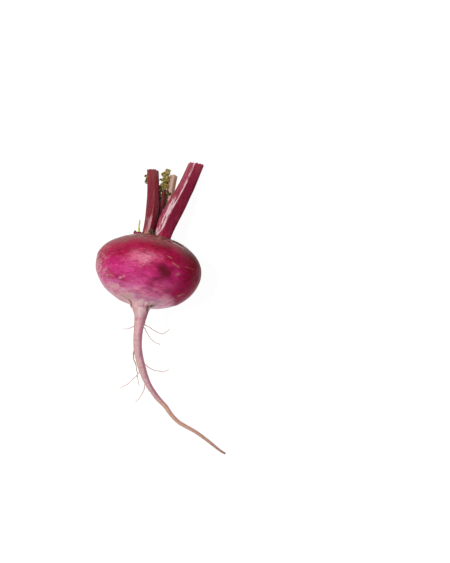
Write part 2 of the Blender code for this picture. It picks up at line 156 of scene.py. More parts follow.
LEAF_TIP = (
    (10.9, 62.2, 9.4, 1.8), (11.3, 68.5, 8.0, 2.7), (11.7, 73.0, 7.0, 2.9), (12.4, 76.4, 6.4, 2.8),
    (14.0, 79.2, 6.2, 1.4),
)
LEAF_LEFT_LOBE = (
    (11.0, 65.6, 8.4, 1.4), (7.4, 66.6, 4.4, 2.0), (3.4, 68.8, 1.8, 2.4), (-0.2, 71.4, 1.6, 2.2),
    (-2.2, 73.6, 2.4, 1.4),
)
LEAF_RIGHT_LOBE = (
    (11.0, 64.6, 9.0, 1.0), (12.8, 62.6, 9.7, 1.3), (14.6, 60.6, 10.1, 0.8),
)
# A thin dark blade along the leafy stalk's left side, which darkens the gap beside the left stalk
LEAF_DARK_STRIP = (
    (8.4, 66.6, 9.0, 1.1), (7.9, 60.5, 10.6, 1.4), (7.7, 54.8, 12.2, 1.3), (7.5, 49.8, 13.2, 0.6),
)
LEAF_WING_RIGHT = (
    (12.4, 63.6, 9.4, 0.8), (12.0, 58.0, 10.5, 1.0), (11.4, 53.0, 11.3, 1.0), (10.6, 49.0, 12.2, 0.5),
)
LEAF_STRAND = ((10.4, 74.0, 8.0, 0.8), (11.6, 75.8, 7.6, 0.9), (12.8, 77.4, 7.2, 0.8), (13.8, 78.5, 7.0, 0.4))
LEAF_TOP_LEFT = ((10.8, 74.6, 7.0, 1.0), (9.2, 76.6, 6.8, 1.0))
LEAF_LOW_LEFT = ((10.0, 71.0, 7.4, 1.0), (8.2, 72.2, 6.8, 1.0))
LEAF_EDGE_HIGH = ((-1.8, 73.4, 2.3, 1.0), (-2.5, 74.6, 2.6, 1.0), (-3.1, 75.8, 2.9, 1.0))
LEAF_EDGE_LOW = ((-1.4, 69.6, 1.9, 1.0), (-2.0, 70.4, 2.1, 1.0), (-2.6, 71.4, 2.3, 1.0))
WITHERED_LEAF = (
    (0.4, 27.0, 33.2, 0.9), (1.0, 29.5, 34.0, 1.2), (1.4, 32.0, 34.2, 1.0), (1.7, 33.8, 34.1, 0.5),
)
DRY_LEG = (
    (-0.5, 29.0, 33.7, 0.6), (-0.4, 31.7, 34.4, 0.8), (0.2, 34.0, 34.7, 0.8), (1.3, 35.0, 34.6, 0.5),
)
GREEN_LEG = (
    (1.3, 35.0, 34.6, 0.5), (2.6, 34.7, 34.9, 0.8), (3.5, 33.3, 35.1, 0.9), (3.8, 31.3, 35.0, 0.8),
    (3.3, 29.6, 34.6, 0.5),
)
# Blades are (vein, lobes, share of the ruffle, seed, tone), and curls (vein, count, size, seed, tones)
LEAF_BLADES = (
    (LEAF_TIP, 5, 1.0, 81, 0.45),
    (LEAF_LEFT_LOBE, 4, 0.8, 84, 0.35),
    (LEAF_RIGHT_LOBE, 2, 0.8, 87, 0.2),
    (LEAF_DARK_STRIP, 5, 0.6, 88, 0.05),
    (LEAF_STRAND, 4, 0.5, 92, 0.8),
    (LEAF_WING_RIGHT, 5, 0.6, 89, 0.1),
)
LEAF_CURLS = (
    (LEAF_TIP[:4], 34, 2.3, 90, (-0.1, 0.7)),
    (LEAF_TIP[2:], 14, 2.2, 190, (0.75, 1.05)),
    (LEAF_TOP_LEFT, 6, 1.6, 250, (0.4, 0.7)),
    (LEAF_LOW_LEFT, 6, 1.7, 280, (0.1, 0.4)),
    (LEAF_EDGE_HIGH, 8, 1.7, 300, (0.1, 0.7)),
    (LEAF_EDGE_LOW, 8, 1.5, 350, (0.1, 0.7)),
    (LEAF_RIGHT_LOBE, 7, 1.7, 400, (0.0, 0.4)),
)

# The fibre's azimuths and heights, and how far its middle lies off the skin
DRY_FIBRE = ((-63, 11.2), (-59, 10.6), (-55, 9.8), (-51, 8.8))
FIBRE_RADIUS = 0.4
FIBRE_LIFT = 0.55
SKIN_FLOOR_GAP = 0.02
FLOOR_GAP = 0.05


def unit(vectors):
    """The vectors along the last axis, each divided by its length."""
    return vectors / np.maximum(np.linalg.norm(vectors, axis=-1, keepdims=True), 1e-9)


def fade(values, start, end):
    """0 before start and 1 after end, with the cubic 3t^2 - 2t^3 between them."""
    t = np.clip((values - start) / (end - start), 0, 1)
    return t * t * (3 - 2 * t)


def ripple(points, wavelength, seed, waves=20):
    """Smooth noise, mostly within -1 to 1: a mean of sine waves.

    Their directions, phases and pitches are dice throws.
    """
    dice = np.random.default_rng(seed)
    pitch = unit(dice.normal(size=(waves, 3))) * (2 * np.pi / wavelength * dice.uniform(0.7, 1.4, (waves, 1)))
    return np.sin(points @ pitch.T + dice.uniform(0, 2 * np.pi, waves)).sum(-1) / math.sqrt(waves)


def smooth_path(stations, spacing):
    """Evenly spaced rows on the Catmull-Rom curve through the stations, whose radius rides along.

    Returns (length from the start, places, radii).
    """
    rows = np.array(stations, float)
    rows = np.vstack([2 * rows[0] - rows[1], rows, 2 * rows[-1] - rows[-2]])
    t = np.linspace(0, 1, 24, endpoint=False)[None, :, None]
    a, b, c, d = rows[:-3, None], rows[1:-2, None], rows[2:-1, None], rows[3:, None]
    curve = (2 * b + (c - a) * t + (2 * a - 5 * b + 4 * c - d) * t**2 + (3 * b - a - 3 * c + d) * t**3) / 2
    curve = np.vstack([curve.reshape(-1, rows.shape[1]), rows[-2]])
    steps = np.linalg.norm(np.diff(curve[:, :3], axis=0), axis=1)
    length = np.concatenate([[0], np.cumsum(steps)])
    even = np.linspace(0, length[-1], max(4, round(length[-1] / spacing) + 1))
    rows = np.stack([np.interp(even, length, column) for column in curve.T], 1)
    return even, rows[:, :3], rows[:, 3]


def path_frames(places):
    """(tangent, side, up) at each place of a path: the side is level, and up is square to both."""
    tangent = unit(np.gradient(places, axis=0))
    side = unit(np.cross(tangent, (0.0, 0.0, 1.0)))
    return tangent, side, np.cross(side, tangent)


def ring_angles(columns):
    """Evenly spaced angles once round, as one row."""
    return np.linspace(0, 2 * np.pi, columns, endpoint=False)[None, :]


def turned(angles, length, size=1.0):
    """Points on a cylinder: size times the cosine and sine of the angle, then the length along it."""
    blank = 0 * (angles + length)
    return np.stack([size * np.cos(angles) + blank, size * np.sin(angles) + blank, length + blank], -1)


def scaled(colour, factor, lift=0.0):
    """A colour with each channel times the factor plus the lift."""
    return tuple(factor * channel + lift for channel in colour)


def between(first, second, share):
    """The colour that lies this share of the way from the first to the second."""
    return tuple((1 - share) * a + share * b for a, b in zip(first, second))


def ring_points(places, side, up, reach, angles):
    """Rings round a path: each place plus reach times (cosine of the angle along side, sine along up)."""
    across = reach * np.cos(angles)
    over = reach * np.sin(angles)
    return places[:, None] + across[..., None] * side[:, None] + over[..., None] * up[:, None]


def outward(rings):
    """Unit normals of a ring surface: the change along the rows crossed with the change round the ring."""
    along = np.gradient(rings, axis=0)
    around = np.roll(rings, -1, axis=1) - np.roll(rings, 1, axis=1)
    return unit(np.cross(along, around))


def weave_faces(rows, columns, start):
    """Quads between neighbouring rings and a fan of triangles at each end, as point numbers from start on."""
    index = start + np.arange(rows * columns).reshape(rows, columns)
    after = np.roll(index, -1, axis=1)
    quads = np.stack([index[:-1], index[1:], after[1:], after[:-1]], -1).reshape(-1, 4).tolist()
    first = np.full(columns, start + rows * columns)
    near = np.stack([first, index[0], after[0]], -1).tolist()
    far = np.stack([first + 1, after[-1], index[-1]], -1).tolist()
    return quads + near + far


def grow(name, shells, finish, sharp=180):
    """Makes one piece from closed shells of rings, with their point attributes, slot and material.

    Each shell is (rings, attributes): rows x columns x 3 in millimetres, and arrays that spread to rows x
    columns or to rows x columns x 3. The mean of the first ring and of the last ring close the ends.
    """
    points, faces, values = [], [], {}
    for rings, attributes in shells:
        rows, columns = rings.shape[:2]
        faces += weave_faces(rows, columns, sum(len(part) for part in points))
        points.append(np.vstack([rings.reshape(-1, 3), rings[0].mean(0), rings[-1].mean(0)]))
        for key, value in attributes.items():
            full = np.broadcast_to(value, (rows, columns) + value.shape[2:])
            flat = full.reshape(rows * columns, -1)
            ends = np.stack([full[0].mean(0), full[-1].mean(0)]).reshape(2, -1)
            values.setdefault(key, []).append(np.vstack([flat, ends]))
    mesh = bpy.data.meshes.new(name)
    mesh.from_pydata((np.vstack(points) * MM).tolist(), [], faces)
    for key, parts in values.items():
        data = np.vstack(parts)
        kind, field = ("FLOAT", "value") if data.shape[1] == 1 else ("FLOAT_VECTOR", "vector")
        mesh.attributes.new(key, kind, "POINT").data.foreach_set(field, data.ravel().astype(np.float32))
    mesh.shade_smooth()
    mesh.set_sharp_from_angle(angle=math.radians(sharp))
    piece = bpy.data.objects.new(name, mesh)
    bpy.context.scene.collection.objects.link(piece)
    mesh.materials.append(finish)
    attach(piece, "root")
    return piece


class Finish:
    """A material being made, with the colour laid on it so far.

    Values are numbers, colours or the outputs of nodes.
    """

    def __init__(self, name, roughness, specular=0.5):
        self.material = bpy.data.materials.new(name)
        self.material.use_nodes = True
        self.tree = self.material.node_tree
        self.shader = self.tree.nodes["Principled BSDF"]
        self.shader.inputs["Roughness"].default_value = roughness
        self.shader.inputs["Specular IOR Level"].default_value = specular
        self.colour = None

    def feed(self, socket, value):
        """Links an output to the socket, or sets the socket to a number or colour."""
        if isinstance(value, bpy.types.NodeSocket):
            self.tree.links.new(value, socket)
        elif hasattr(value, "__len__") and len(value) == 3 and socket.type == "RGBA":
            socket.default_value = (*value, 1)
        else:
            socket.default_value = value

    def node(self, kind, inputs, output=0, **settings):
        """Adds a node with these settings, feeds its inputs and gives back one of its outputs."""
        node = self.tree.nodes.new("ShaderNode" + kind)
        for name, setting in settings.items():
            setattr(node, name, setting)
        for key, value in inputs.items():
            self.feed(node.inputs[key], value)
        return node.outputs[output]

    def attribute(self, name, output="Fac"):
        """A point attribute of the piece."""
        return self.node("Attribute", {}, output, attribute_name=name)

    def math(self, operation, first, *others):
        """Arithmetic on the first value with each of the others in turn."""
        for other in others:
            first = self.node("Math", {0: first, 1: other}, operation=operation)
        return first

    def times(self, *values):
        """The product of the values."""
        return self.math("MULTIPLY", *values)

    def plus(self, *values):
        """The sum of the values."""
        return self.math("ADD", *values)

    def most(self, *values):
        """The largest of the values."""
        return self.math("MAXIMUM", *values)

    def noise(self, stretch, detail=3.0, roughness=0.5, distortion=0.0):
        """Noise on the grain attribute, scaled by stretch along its three directions."""
        stretched = self.node("Mapping", {"Vector": self.attribute("grain", "Vector"), "Scale": stretch})
        inputs = {"Scale": 1.0, "Detail": detail, "Roughness": roughness, "Distortion": distortion}
        return self.node("TexNoise", {"Vector": stretched, **inputs})

    def spread(self, value, low, high, to_low=0.0, to_high=1.0):
        """The value's range low to high, mapped smoothly onto to_low to to_high."""
        inputs = {"Value": value, "From Min": low, "From Max": high, "To Min": to_low, "To Max": to_high}
        return self.node("MapRange", inputs, interpolation_type="SMOOTHSTEP")

    def frayed(self, value, noise, depth, start=0.3, end=0.7):
        """The value, lower by the depth where the noise is at its start and higher where it is at its end."""
        return self.plus(value, self.spread(noise, start, end, -depth, depth))

    def ramp(self, factor, stops):
        """A colour ramp through (position, colour) stops."""
        node = self.tree.nodes.new("ShaderNodeValToRGB")
        band = node.color_ramp
        for number, (position, colour) in enumerate(stops):
            stop = band.elements[number] if number < 2 else band.elements.new(position)
            stop.position = position
            stop.color = (*colour, 1)
        self.feed(node.inputs[0], factor)
        return node.outputs[0]

    def mix(self, factor, first, second, blend="MIX"):
        """A blend of two colours."""
        return self.node("Mix", {0: factor, 6: first, 7: second}, 2, data_type="RGBA", blend_type=blend)

    def coat(self, amount, colour):
        """Lays a colour over the one so far, by an amount of 0 to 1."""
        self.colour = self.mix(amount, self.colour, colour)

    def stain(self, amount, colour):
        """Multiplies the colour so far by another, by an amount of 0 to 1."""
        self.colour = self.mix(amount, self.colour, colour, "MULTIPLY")

    def relief(self, height, distance, strength):
        """A bump on top of those so far, from a height of 0 to 1, in millimetres of depth."""
        normal = self.shader.inputs["Normal"]
        inputs = {"Height": height, "Distance": distance * MM, "Strength": strength}
        if normal.is_linked:
            inputs["Normal"] = normal.links[0].from_socket
        self.tree.links.new(self.node("Bump", inputs), normal)

    def paint(self):
        """Gives the shader the colour so far and hands the material over."""
        self.feed(self.shader.inputs["Base Color"], self.colour)
        return self.material


def globe_axes():
    """(centre, right, down, axis) of the globe, as its solid lies: the dip, then the lean.

    The lowest point of the dipping ellipse lies SPOT_DEPTH under the origin.
    """
    level = np.array([math.sin(CROWN_LEAN), math.cos(CROWN_LEAN), 0])
    right = np.array([math.cos(CROWN_LEAN), -math.sin(CROWN_LEAN), 0])
    axis = level * math.cos(CROWN_DIP) - np.array([0, 0, math.sin(CROWN_DIP)])
    down = -level * math.sin(CROWN_DIP) - np.array([0, 0, math.cos(CROWN_DIP)])
    out, along = GLOBE_RADIUS * math.cos(CROWN_DIP), CROWN_HALF_HEIGHT * math.sin(CROWN_DIP)
    lowest = (down * GLOBE_RADIUS * out + axis * CROWN_HALF_HEIGHT * along) / math.hypot(out, along)
    return -lowest - np.array([0, 0, SPOT_DEPTH]), right, down, axis


CENTRE, RIGHT, DOWN, AXIS = globe_axes()


def globe_profile():
    """(heights, radii) from near the crown's pole to the end of the neck, as the solid's profile runs.

    The crown is a quarter of an ellipse, the underside a slightly squarer curve whose powers of cosine and
    sine are under one, and the neck a Bezier curve from there to the tap root.
    """
    turn = np.linspace(0, np.pi / 2, CROWN_ROWS, endpoint=False)[1:]
    crown = np.stack([CROWN_HALF_HEIGHT * np.cos(turn), GLOBE_RADIUS * np.sin(turn)], 1)
    turn = np.linspace(np.pi / 2, UNDERSIDE_TURN, UNDERSIDE_ROWS)
    power = 2 / ROOT_SQUARENESS
    under_heights = -ROOT_HALF_HEIGHT * np.abs(np.cos(turn)) ** power
    under = np.stack([under_heights, GLOBE_RADIUS * np.sin(turn) ** power], 1)
    start, end = under[-1], np.array([NECK_HEIGHT, NECK_RADIUS])
    from_globe = start + NECK_HANDLES[0] * unit(start - under[-2])
    from_neck = end + NECK_HANDLES[1] * unit(np.array([1, NECK_TAPER]))
    t = np.linspace(0, 1, NECK_ROWS)[1:, None]
    neck = (1 - t) ** 3 * start + 3 * (1 - t) ** 2 * t * from_globe
    neck = neck + 3 * (1 - t) * t**2 * from_neck + t**3 * end
    return np.vstack([crown, under, neck]).T


def swell(azimuth, height):
    """How much wider than round the globe is, fading to nothing at the crown and the neck."""
    half = np.where(height > 0, CROWN_HALF_HEIGHT, ROOT_HALF_HEIGHT)
    belly = np.maximum(0, 1 - (height / half) ** 2)
    return 1 + belly * (SWELL_TWO * np.sin(2 * azimuth) + SWELL_THREE * np.cos(3 * azimuth))


def on_globe(degrees, height):
    """The place on the smooth surface of the globe or neck at this azimuth and height."""
    azimuth = math.radians(degrees)
    heights, radii = globe_profile()
    radius = np.interp(-height, -heights, radii) * swell(azimuth, np.array(height))
    return CENTRE + AXIS * height + radius * (math.cos(azimuth) * RIGHT + math.sin(azimuth) * DOWN)


def strokes(points, marks):
    """The strongest of several soft strokes at each point.

    A stroke is the azimuth and height of its two ends, its half width and its strength. Its value is the
    strength times e to the minus squared distance from the line between its ends, in half widths.
    """
    total = np.zeros(points.shape[:-1])
    for azimuth, height, end_azimuth, end_height, width, strength in marks:
        start = on_globe(azimuth, height)
        line = on_globe(end_azimuth, end_height) - start
        share = np.clip((points - start) @ line / (line @ line + 1e-9), 0, 1)
        away = np.linalg.norm(points - start - share[..., None] * line, axis=-1) / width
        total = np.maximum(total, strength * np.exp(-(away**2)))
    return total


def spots(points, marks):
    """The strongest of several soft round spots at each point, each (x, y, z, radius, strength)."""
    total = np.zeros(points.shape[:-1])
    for x, y, z, radius, strength in marks:
        away = np.linalg.norm(points - (x, y, z), axis=-1) / radius
        total = np.maximum(total, strength * np.exp(-(away**2)))
    return total


# Marks on the skin, as strokes and spots
# Bruises; the strokes at azimuths -72 to -50 by the crown, at -31 and at -22 to -16 by the right edge are
# painted shade
BRUISES_AND_SHADE = (
    (-71.5, -12.3, -64.5, -13.0, 4.8, 1.0),
    (-77.0, -18.5, -68.0, -17.5, 4.2, 0.5),
    (-78.0, -19.5, -76.0, -22.8, 3.2, 0.5),
    (-76.0, -23.3, -62.0, -23.1, 2.2, 0.35),
    (-69.0, -14.5, -75.0, -18.0, 4.4, 0.55),
    (-31.0, -12.0, -31.0, -16.0, 3.5, 0.3),
    (-72.0, 2.5, -50.0, 1.5, 5.0, 0.32),
    (-22.0, -8.0, -16.0, 3.0, 3.2, 0.55),
    (70.0, -6.0, 82.0, -8.0, 3.2, 0.6),
)
SCRATCHES = (
    (-63.2, -6.3, -53.9, -7.4, 0.45, 0.6),
    (-68.9, -3.0, -65.4, -3.3, 0.45, 0.5),
    (-16.0, -25.4, -38.0, -23.5, 0.4, 0.9),
    (-6.0, -25.0, -33.0, -23.5, 0.35, 0.7),
    (-42.7, -24.2, -27.0, -24.3, 0.35, 0.6),
    (-20.4, -20.5, -18.3, -18.9, 0.7, 0.8),
    (-155.0, -21.0, -148.0, -22.6, 0.9, 0.45),
    (-46.0, -5.3, -34.0, -3.9, 0.35, 0.3),
    (5, -8.0, 28, -4.0, 0.4, 0.5),
    (60, -3.0, 74, -6.0, 0.4, 0.5),
    (120, -12.0, 131, -9.0, 0.5, 0.5),
    (150, 2.0, 163, 1.0, 0.4, 0.5),
)
FLUSHES = (
    (-147.0, -17.0, -128.0, -19.5, 4.2, 1.25),
    (-120.0, -20.0, -104.0, -19.0, 2.6, 0.5),
    (-128.0, 4.5, -96.0, 6.0, 3.4, 0.5),
    (150.0, -8.0, 175.0, -12.0, 4.0, 0.6),
    (60.0, -14.0, 95.0, -16.0, 4.0, 0.6),
)
# Rosy skin; the first three strokes lie round the highlight and are a painted glow of it
ROSY_SKIN_AND_GLOW = (
    (-106.0, -6.0, -92.0, -7.0, 5.0, 0.5),
    (-92.0, -7.0, -78.0, -5.0, 4.5, 0.4),
    (-120.0, -8.0, -106.0, -8.5, 3.0, 0.35),
    (100.0, -2.0, 130.0, -4.0, 6.0, 0.5),
)
FLECKS = (
    (-129.4, -18.8, -127.0, -18.5, 0.6, 0.5),
    (-123.0, -18.3, -120.5, -18.0, 0.5, 0.4),
    (-62.7, 9.4, -52.1, 8.2, 0.85, 0.85),
    (-121.6, 11.1, -115.8, 11.7, 0.75, 0.8),
    (-53.1, -12.3, -50.8, -11.2, 0.9, 0.2),
    (35, -10.0, 42, -9.5, 0.6, 0.6),
    (95, -9.0, 103, -9.5, 0.8, 0.5),
)
# Creases by the neck, whose dark brown is partly their own and partly painted shade
CREASES = (
    (-163.0, -25.0, -168.0, -26.6, 0.5, 0.7),
    (-168.0, -26.6, -170.0, -28.4, 0.8, 1.0),
    (-170.0, -28.4, -174.0, -31.0, 1.0, 1.0),
    (-174.0, -31.0, 178.0, -32.4, 0.9, 0.9),
    (-44.5, -29.8, -19.1, -28.7, 0.75, 0.9),
    (-19.1, -28.7, 12.0, -27.3, 0.8, 1.0),
    (-41.0, -30.0, -30.0, -32.5, 1.0, 1.0),
    (12.0, -27.3, 50.0, -27.6, 0.8, 0.8),
    (90.0, -27.4, 130.0, -27.2, 0.7, 0.6),
)
FLANK_BULGE = 2.2
FLANK = ((165.0, -28.2, -170.0, -30.4, 3.4, 1.0),)
DUSTY = (
    (-154.3, 1.0, -146.0, 9.0, 4.5, 0.6),
    (-146.0, 8.0, -120.0, 5.0, 3.0, 0.45),
    (-36.0, 7.0, -20.0, 5.0, 3.5, 0.4),
    (60.0, 6.0, 120.0, 7.0, 4.0, 0.5),
)
ROOT_SCABS = (
    (1.0, -22.0, 48.0, 1.0, 1.0),
    (0.4, -23.6, 48.1, 1.1, 1.0),
    (0.1, -25.2, 48.2, 1.1, 1.0),
    (-0.5, -26.8, 48.5, 0.9, 0.9),
    (-1.1, -29.2, 48.8, 0.7, 0.8),
)
ROSY_SPOTS = ((-6.8, -27.0, 50.0, 0.8, 1.0), (-5.6, -26.2, 50.8, 0.8, 1.0), (-4.4, -26.8, 51.0, 0.7, 0.7))

# Heights and depths of the skin's reliefs, their spacing and how many go round
DENTS = {"bruise": 0.25, "crease": 0.5, "scratch": 0.12}
SCAB_HEIGHT = 0.45
LOW_SWELLING = 0.14
FURROW_COUNT = 9
FURROW_DEPTH = 0.16
SCAR_PITCH = 2.3
SCAR_DEPTH = 0.22
FOLD_COUNT = 13
FOLD_DEPTH = 0.2
FOLD_MIDDLE = -29.5
FOLD_REACH = 3.2

# How much further down the reds reach on the globe's right side, and how much less far on its left
COLOUR_LEAN = 2.2


def skin_rings():
    """The skin of the globe, neck and tap root: rings, and each point's length, azimuth and reach.

    The profile turns round the globe's axis, then a circle of the tap root's radius goes along its path.
    """
    heights, radii = globe_profile()
    centres = CENTRE + heights[:, None] * AXIS
    neck_end = (*centres[-1], radii[-1])
    along, root_places, root_radii = smooth_path((neck_end, *TAP_ROOT), 0.85)
    centres = np.vstack([centres, root_places[1:]])
    radii = np.concatenate([radii, root_radii[1:]])
    lengths = np.concatenate([heights, heights[-1] - along[1:]])
    azimuth = np.linspace(np.pi / 2, 5 * np.pi / 2, SKIN_COLUMNS, endpoint=False)[None, :]
    tangent, side, up = path_frames(centres)
    globe_rows = lengths > NECK_HEIGHT - 0.01
    tangent[globe_rows], side[globe_rows], up[globe_rows] = -AXIS, -RIGHT, -DOWN
    reach = radii[:, None] * swell(azimuth, lengths[:, None])
    rings = ring_points(centres, side, up, -reach, azimuth)
    return rings, lengths[:, None] + 0 * azimuth, azimuth + 0 * reach, reach


def shape_skin(rings, lengths, azimuth, reach, wrinkle):
    """Moves the smooth skin along its normal by the sum of its reliefs, and keeps it off the floor.

    The globe has low swellings, furrows below the crown, leaf scars as rings on it and folds round the neck.
    The tap root has narrow bands and knots. A fuller flank beside the neck and the scabs stand proud, and
    bruises, with the strokes of painted shade among them, creases and scratches are dents.
    """
    normal = outward(rings)
    on_root = fade(-lengths, -NECK_HEIGHT - 3, -NECK_HEIGHT + 3)
    on_crown = fade(lengths, 11, 17)
    wander = ripple(rings, 12.0, 3)
    low = LOW_SWELLING * ripple(rings, 15.0, 1) + 0.05 * ripple(rings, 5.0, 2)
    furrows = FURROW_DEPTH * np.cos(FURROW_COUNT * azimuth + 1.4 * wander)
    furrows = furrows * fade(lengths, 6, 14) * (1 - 0.5 * on_crown)
    scars = SCAR_DEPTH * np.sin(2 * np.pi * reach / SCAR_PITCH + 1.2 * wander) * on_crown
    near_neck = np.exp(-(((lengths - FOLD_MIDDLE) / FOLD_REACH) ** 2))
    folds = FOLD_DEPTH * np.cos(FOLD_COUNT * azimuth + 2.2 * wander) * near_neck
    bands = 0.01 * np.sin(2 * np.pi * lengths / 2.1 + 2.5 * ripple(rings, 7.0, 5))
    knots = 0.08 * ripple(rings, 7.0, 6) + 0.03 * ripple(rings, 2.4, 7)
    root_relief = (bands + knots) * np.clip(reach / 3.2, 0.25, 1.0)
    dents = DENTS["bruise"] * strokes(rings, BRUISES_AND_SHADE) + DENTS["crease"] * strokes(rings, CREASES)
    dents = dents + DENTS["scratch"] * strokes(rings, SCRATCHES)
    flank = FLANK_BULGE * strokes(rings, FLANK)
    scabs = SCAB_HEIGHT * spots(rings, ROOT_SCABS) * (1 + 0.6 * ripple(rings, 1.2, 8))
    globe_relief = low + furrows + scars + folds
    relief = globe_relief * (1 - on_root) + root_relief * on_root + flank + scabs - dents
    moved = rings + normal * (relief * wrinkle)[..., None]
    moved[..., 2] = np.maximum(moved[..., 2], SKIN_FLOOR_GAP)
    return moved


# Paints of the skin's layers. A stain multiplies what lies under it.
CROWN_BROWN = (0.19, 0.085, 0.06)
THREAD_PINK = (0.74, 0.14, 0.36)
STREAK_STAIN = (0.60, 0.25, 0.40)
PATCH_STAIN = (0.66, 0.22, 0.45)
FLUSH_STAIN = (0.72, 0.16, 0.45)
THREAD_STAIN = (0.70, 0.40, 0.60)
# Rosy skin, and the painted glow round the highlight
ROSY_AND_HIGHLIGHT_RED = (0.64, 0.10, 0.22)
LAVENDER = (0.60, 0.13, 0.36)
DUSTY_BROWN = (0.22, 0.058, 0.036)
MOTE_PINK = (0.52, 0.15, 0.16)
SPECK_RED = (0.13, 0.018, 0.016)
# Painted shade on the globe's right side
RIGHT_PAINTED_SHADE = (0.52, 0.03, 0.24)
# Pale left side, and the painted reflection on its upper edge
LEFT_PALE_AND_RIM_REFLECTION = (0.62, 0.36, 0.34)
# Mauve right side of the root, partly its own colour and partly painted shade
ROOT_MAUVE_AND_SHADE = (0.44, 0.13, 0.21)
WEATHER_STAIN = (0.60, 0.58, 0.46)
# Bruises, and the painted shade drawn with the same strokes
BRUISE_AND_SHADE_RED = (0.20, 0.003, 0.035)
BRUISE_CORE = (0.105, 0.007, 0.010)
SCRATCH_TAN = (0.55, 0.24, 0.16)
# Dark brown of the creases, partly painted shade, and of the scabs
CREASE_BROWN_AND_SHADE = (0.15, 0.062, 0.022)
FLECK_PALE = (0.80, 0.58, 0.55)
SPOT_RED = (0.55, 0.09, 0.17)

# The colours' start, their whole length and the ends of the neck, in millimetres along the axis, and the
# strength of the gloss
CROWN_END = 20.0
RAMP_LENGTH = 200.0
NECK_ENDS = (-31.0, -37.0)
GLOSS = 0.32


def skin_stops(colours):
    """The skin's main colours along its length, from the crown at 0 to the root's tip at 1."""
    shoulder, crimson, magenta, blush, flesh, root_pink, root_tan, root_tip = colours
    return [
        (0.0, CROWN_BROWN),
        (0.035, scaled(shoulder, 0.8)),
        (0.062, shoulder),
        (0.085, crimson),
        (0.132, between(crimson, magenta, 0.15)),
        (0.165, magenta),
        (0.205, between(magenta, blush, 0.2)),
        (0.226, blush),
        (0.24, between(blush, flesh, 0.7)),
        (0.252, flesh),
        (0.285, flesh),
        (0.31, root_pink),
        (0.55, root_pink),
        (0.68, root_tan),
        (0.90, scaled(root_tan, 0.8)),
        (0.985, scaled(root_tan, 0.5)),
        (1.0, root_tip),
    ]


def paint_reds(finish, length, fine, patches):
    """Pink and dark threads, streaks, patches, flushes, rosy skin with a painted glow round the highlight,
    and lavender over the main reds.

    Threads, streaks and patches are weaker below the neck, and lavender shows only low on the globe.
    """
    smooth = finish.spread(length, *NECK_ENDS, 1.0, 0.3)
    lower = finish.spread(length, 4.0, -16.0, 0.15, 1.0)
    finish.coat(finish.times(finish.spread(fine, 0.48, 0.75, 0.0, 0.4), lower, smooth), THREAD_PINK)
    dark = finish.spread(finish.noise((0.16, 0.16, 0.8), detail=3), 0.45, 0.70, 0.0, 0.55)
    finish.stain(finish.times(dark, smooth), STREAK_STAIN)
    deep = finish.noise((0.16, 0.16, 0.34), detail=4, roughness=0.55, distortion=0.6)
    finish.stain(finish.times(finish.spread(deep, 0.46, 0.62, 0.0, 0.6), smooth), PATCH_STAIN)
    flush = finish.frayed(finish.attribute("flush"), fine, 0.25)
    finish.stain(finish.spread(flush, 0.05, 0.8, 0.0, 0.85), FLUSH_STAIN)
    finish.stain(finish.times(finish.spread(fine, 0.50, 0.34, 0.0, 0.55), smooth), THREAD_STAIN)
    # Rosy skin, and a painted glow round the highlight
    glow = finish.frayed(finish.attribute("rosy_skin"), fine, 0.2)
    finish.coat(finish.spread(glow, 0.08, 0.7, 0.0, 0.75), ROSY_AND_HIGHLIGHT_RED)
    low = finish.times(finish.spread(length, -10.0, -22.0), finish.spread(length, -26.0, -32.0, 1.0, 0.0))
    finish.coat(finish.times(finish.spread(patches, 0.46, 0.66), low, 0.5), LAVENDER)


def paint_crown(finish, length, fine):
    """The dusty brown of the crown and of the dusty marks, with pink motes and dark specks by the crown."""
    crown = finish.most(finish.spread(length, 7.0, 13.0), finish.attribute("dusty"))
    finish.coat(finish.times(crown, finish.spread(fine, 0.42, 0.60, 0.1, 0.8)), DUSTY_BROWN)
    motes = finish.noise((0.30, 0.30, 1.2), detail=5, roughness=0.7, distortion=0.5)
    rim = finish.spread(length, 5.0, 10.0)
    finish.coat(finish.times(rim, finish.spread(motes, 0.50, 0.60, 0.0, 0.85)), MOTE_PINK)
    finish.coat(finish.times(rim, finish.spread(motes, 0.46, 0.36, 0.0, 0.8)), SPECK_RED)


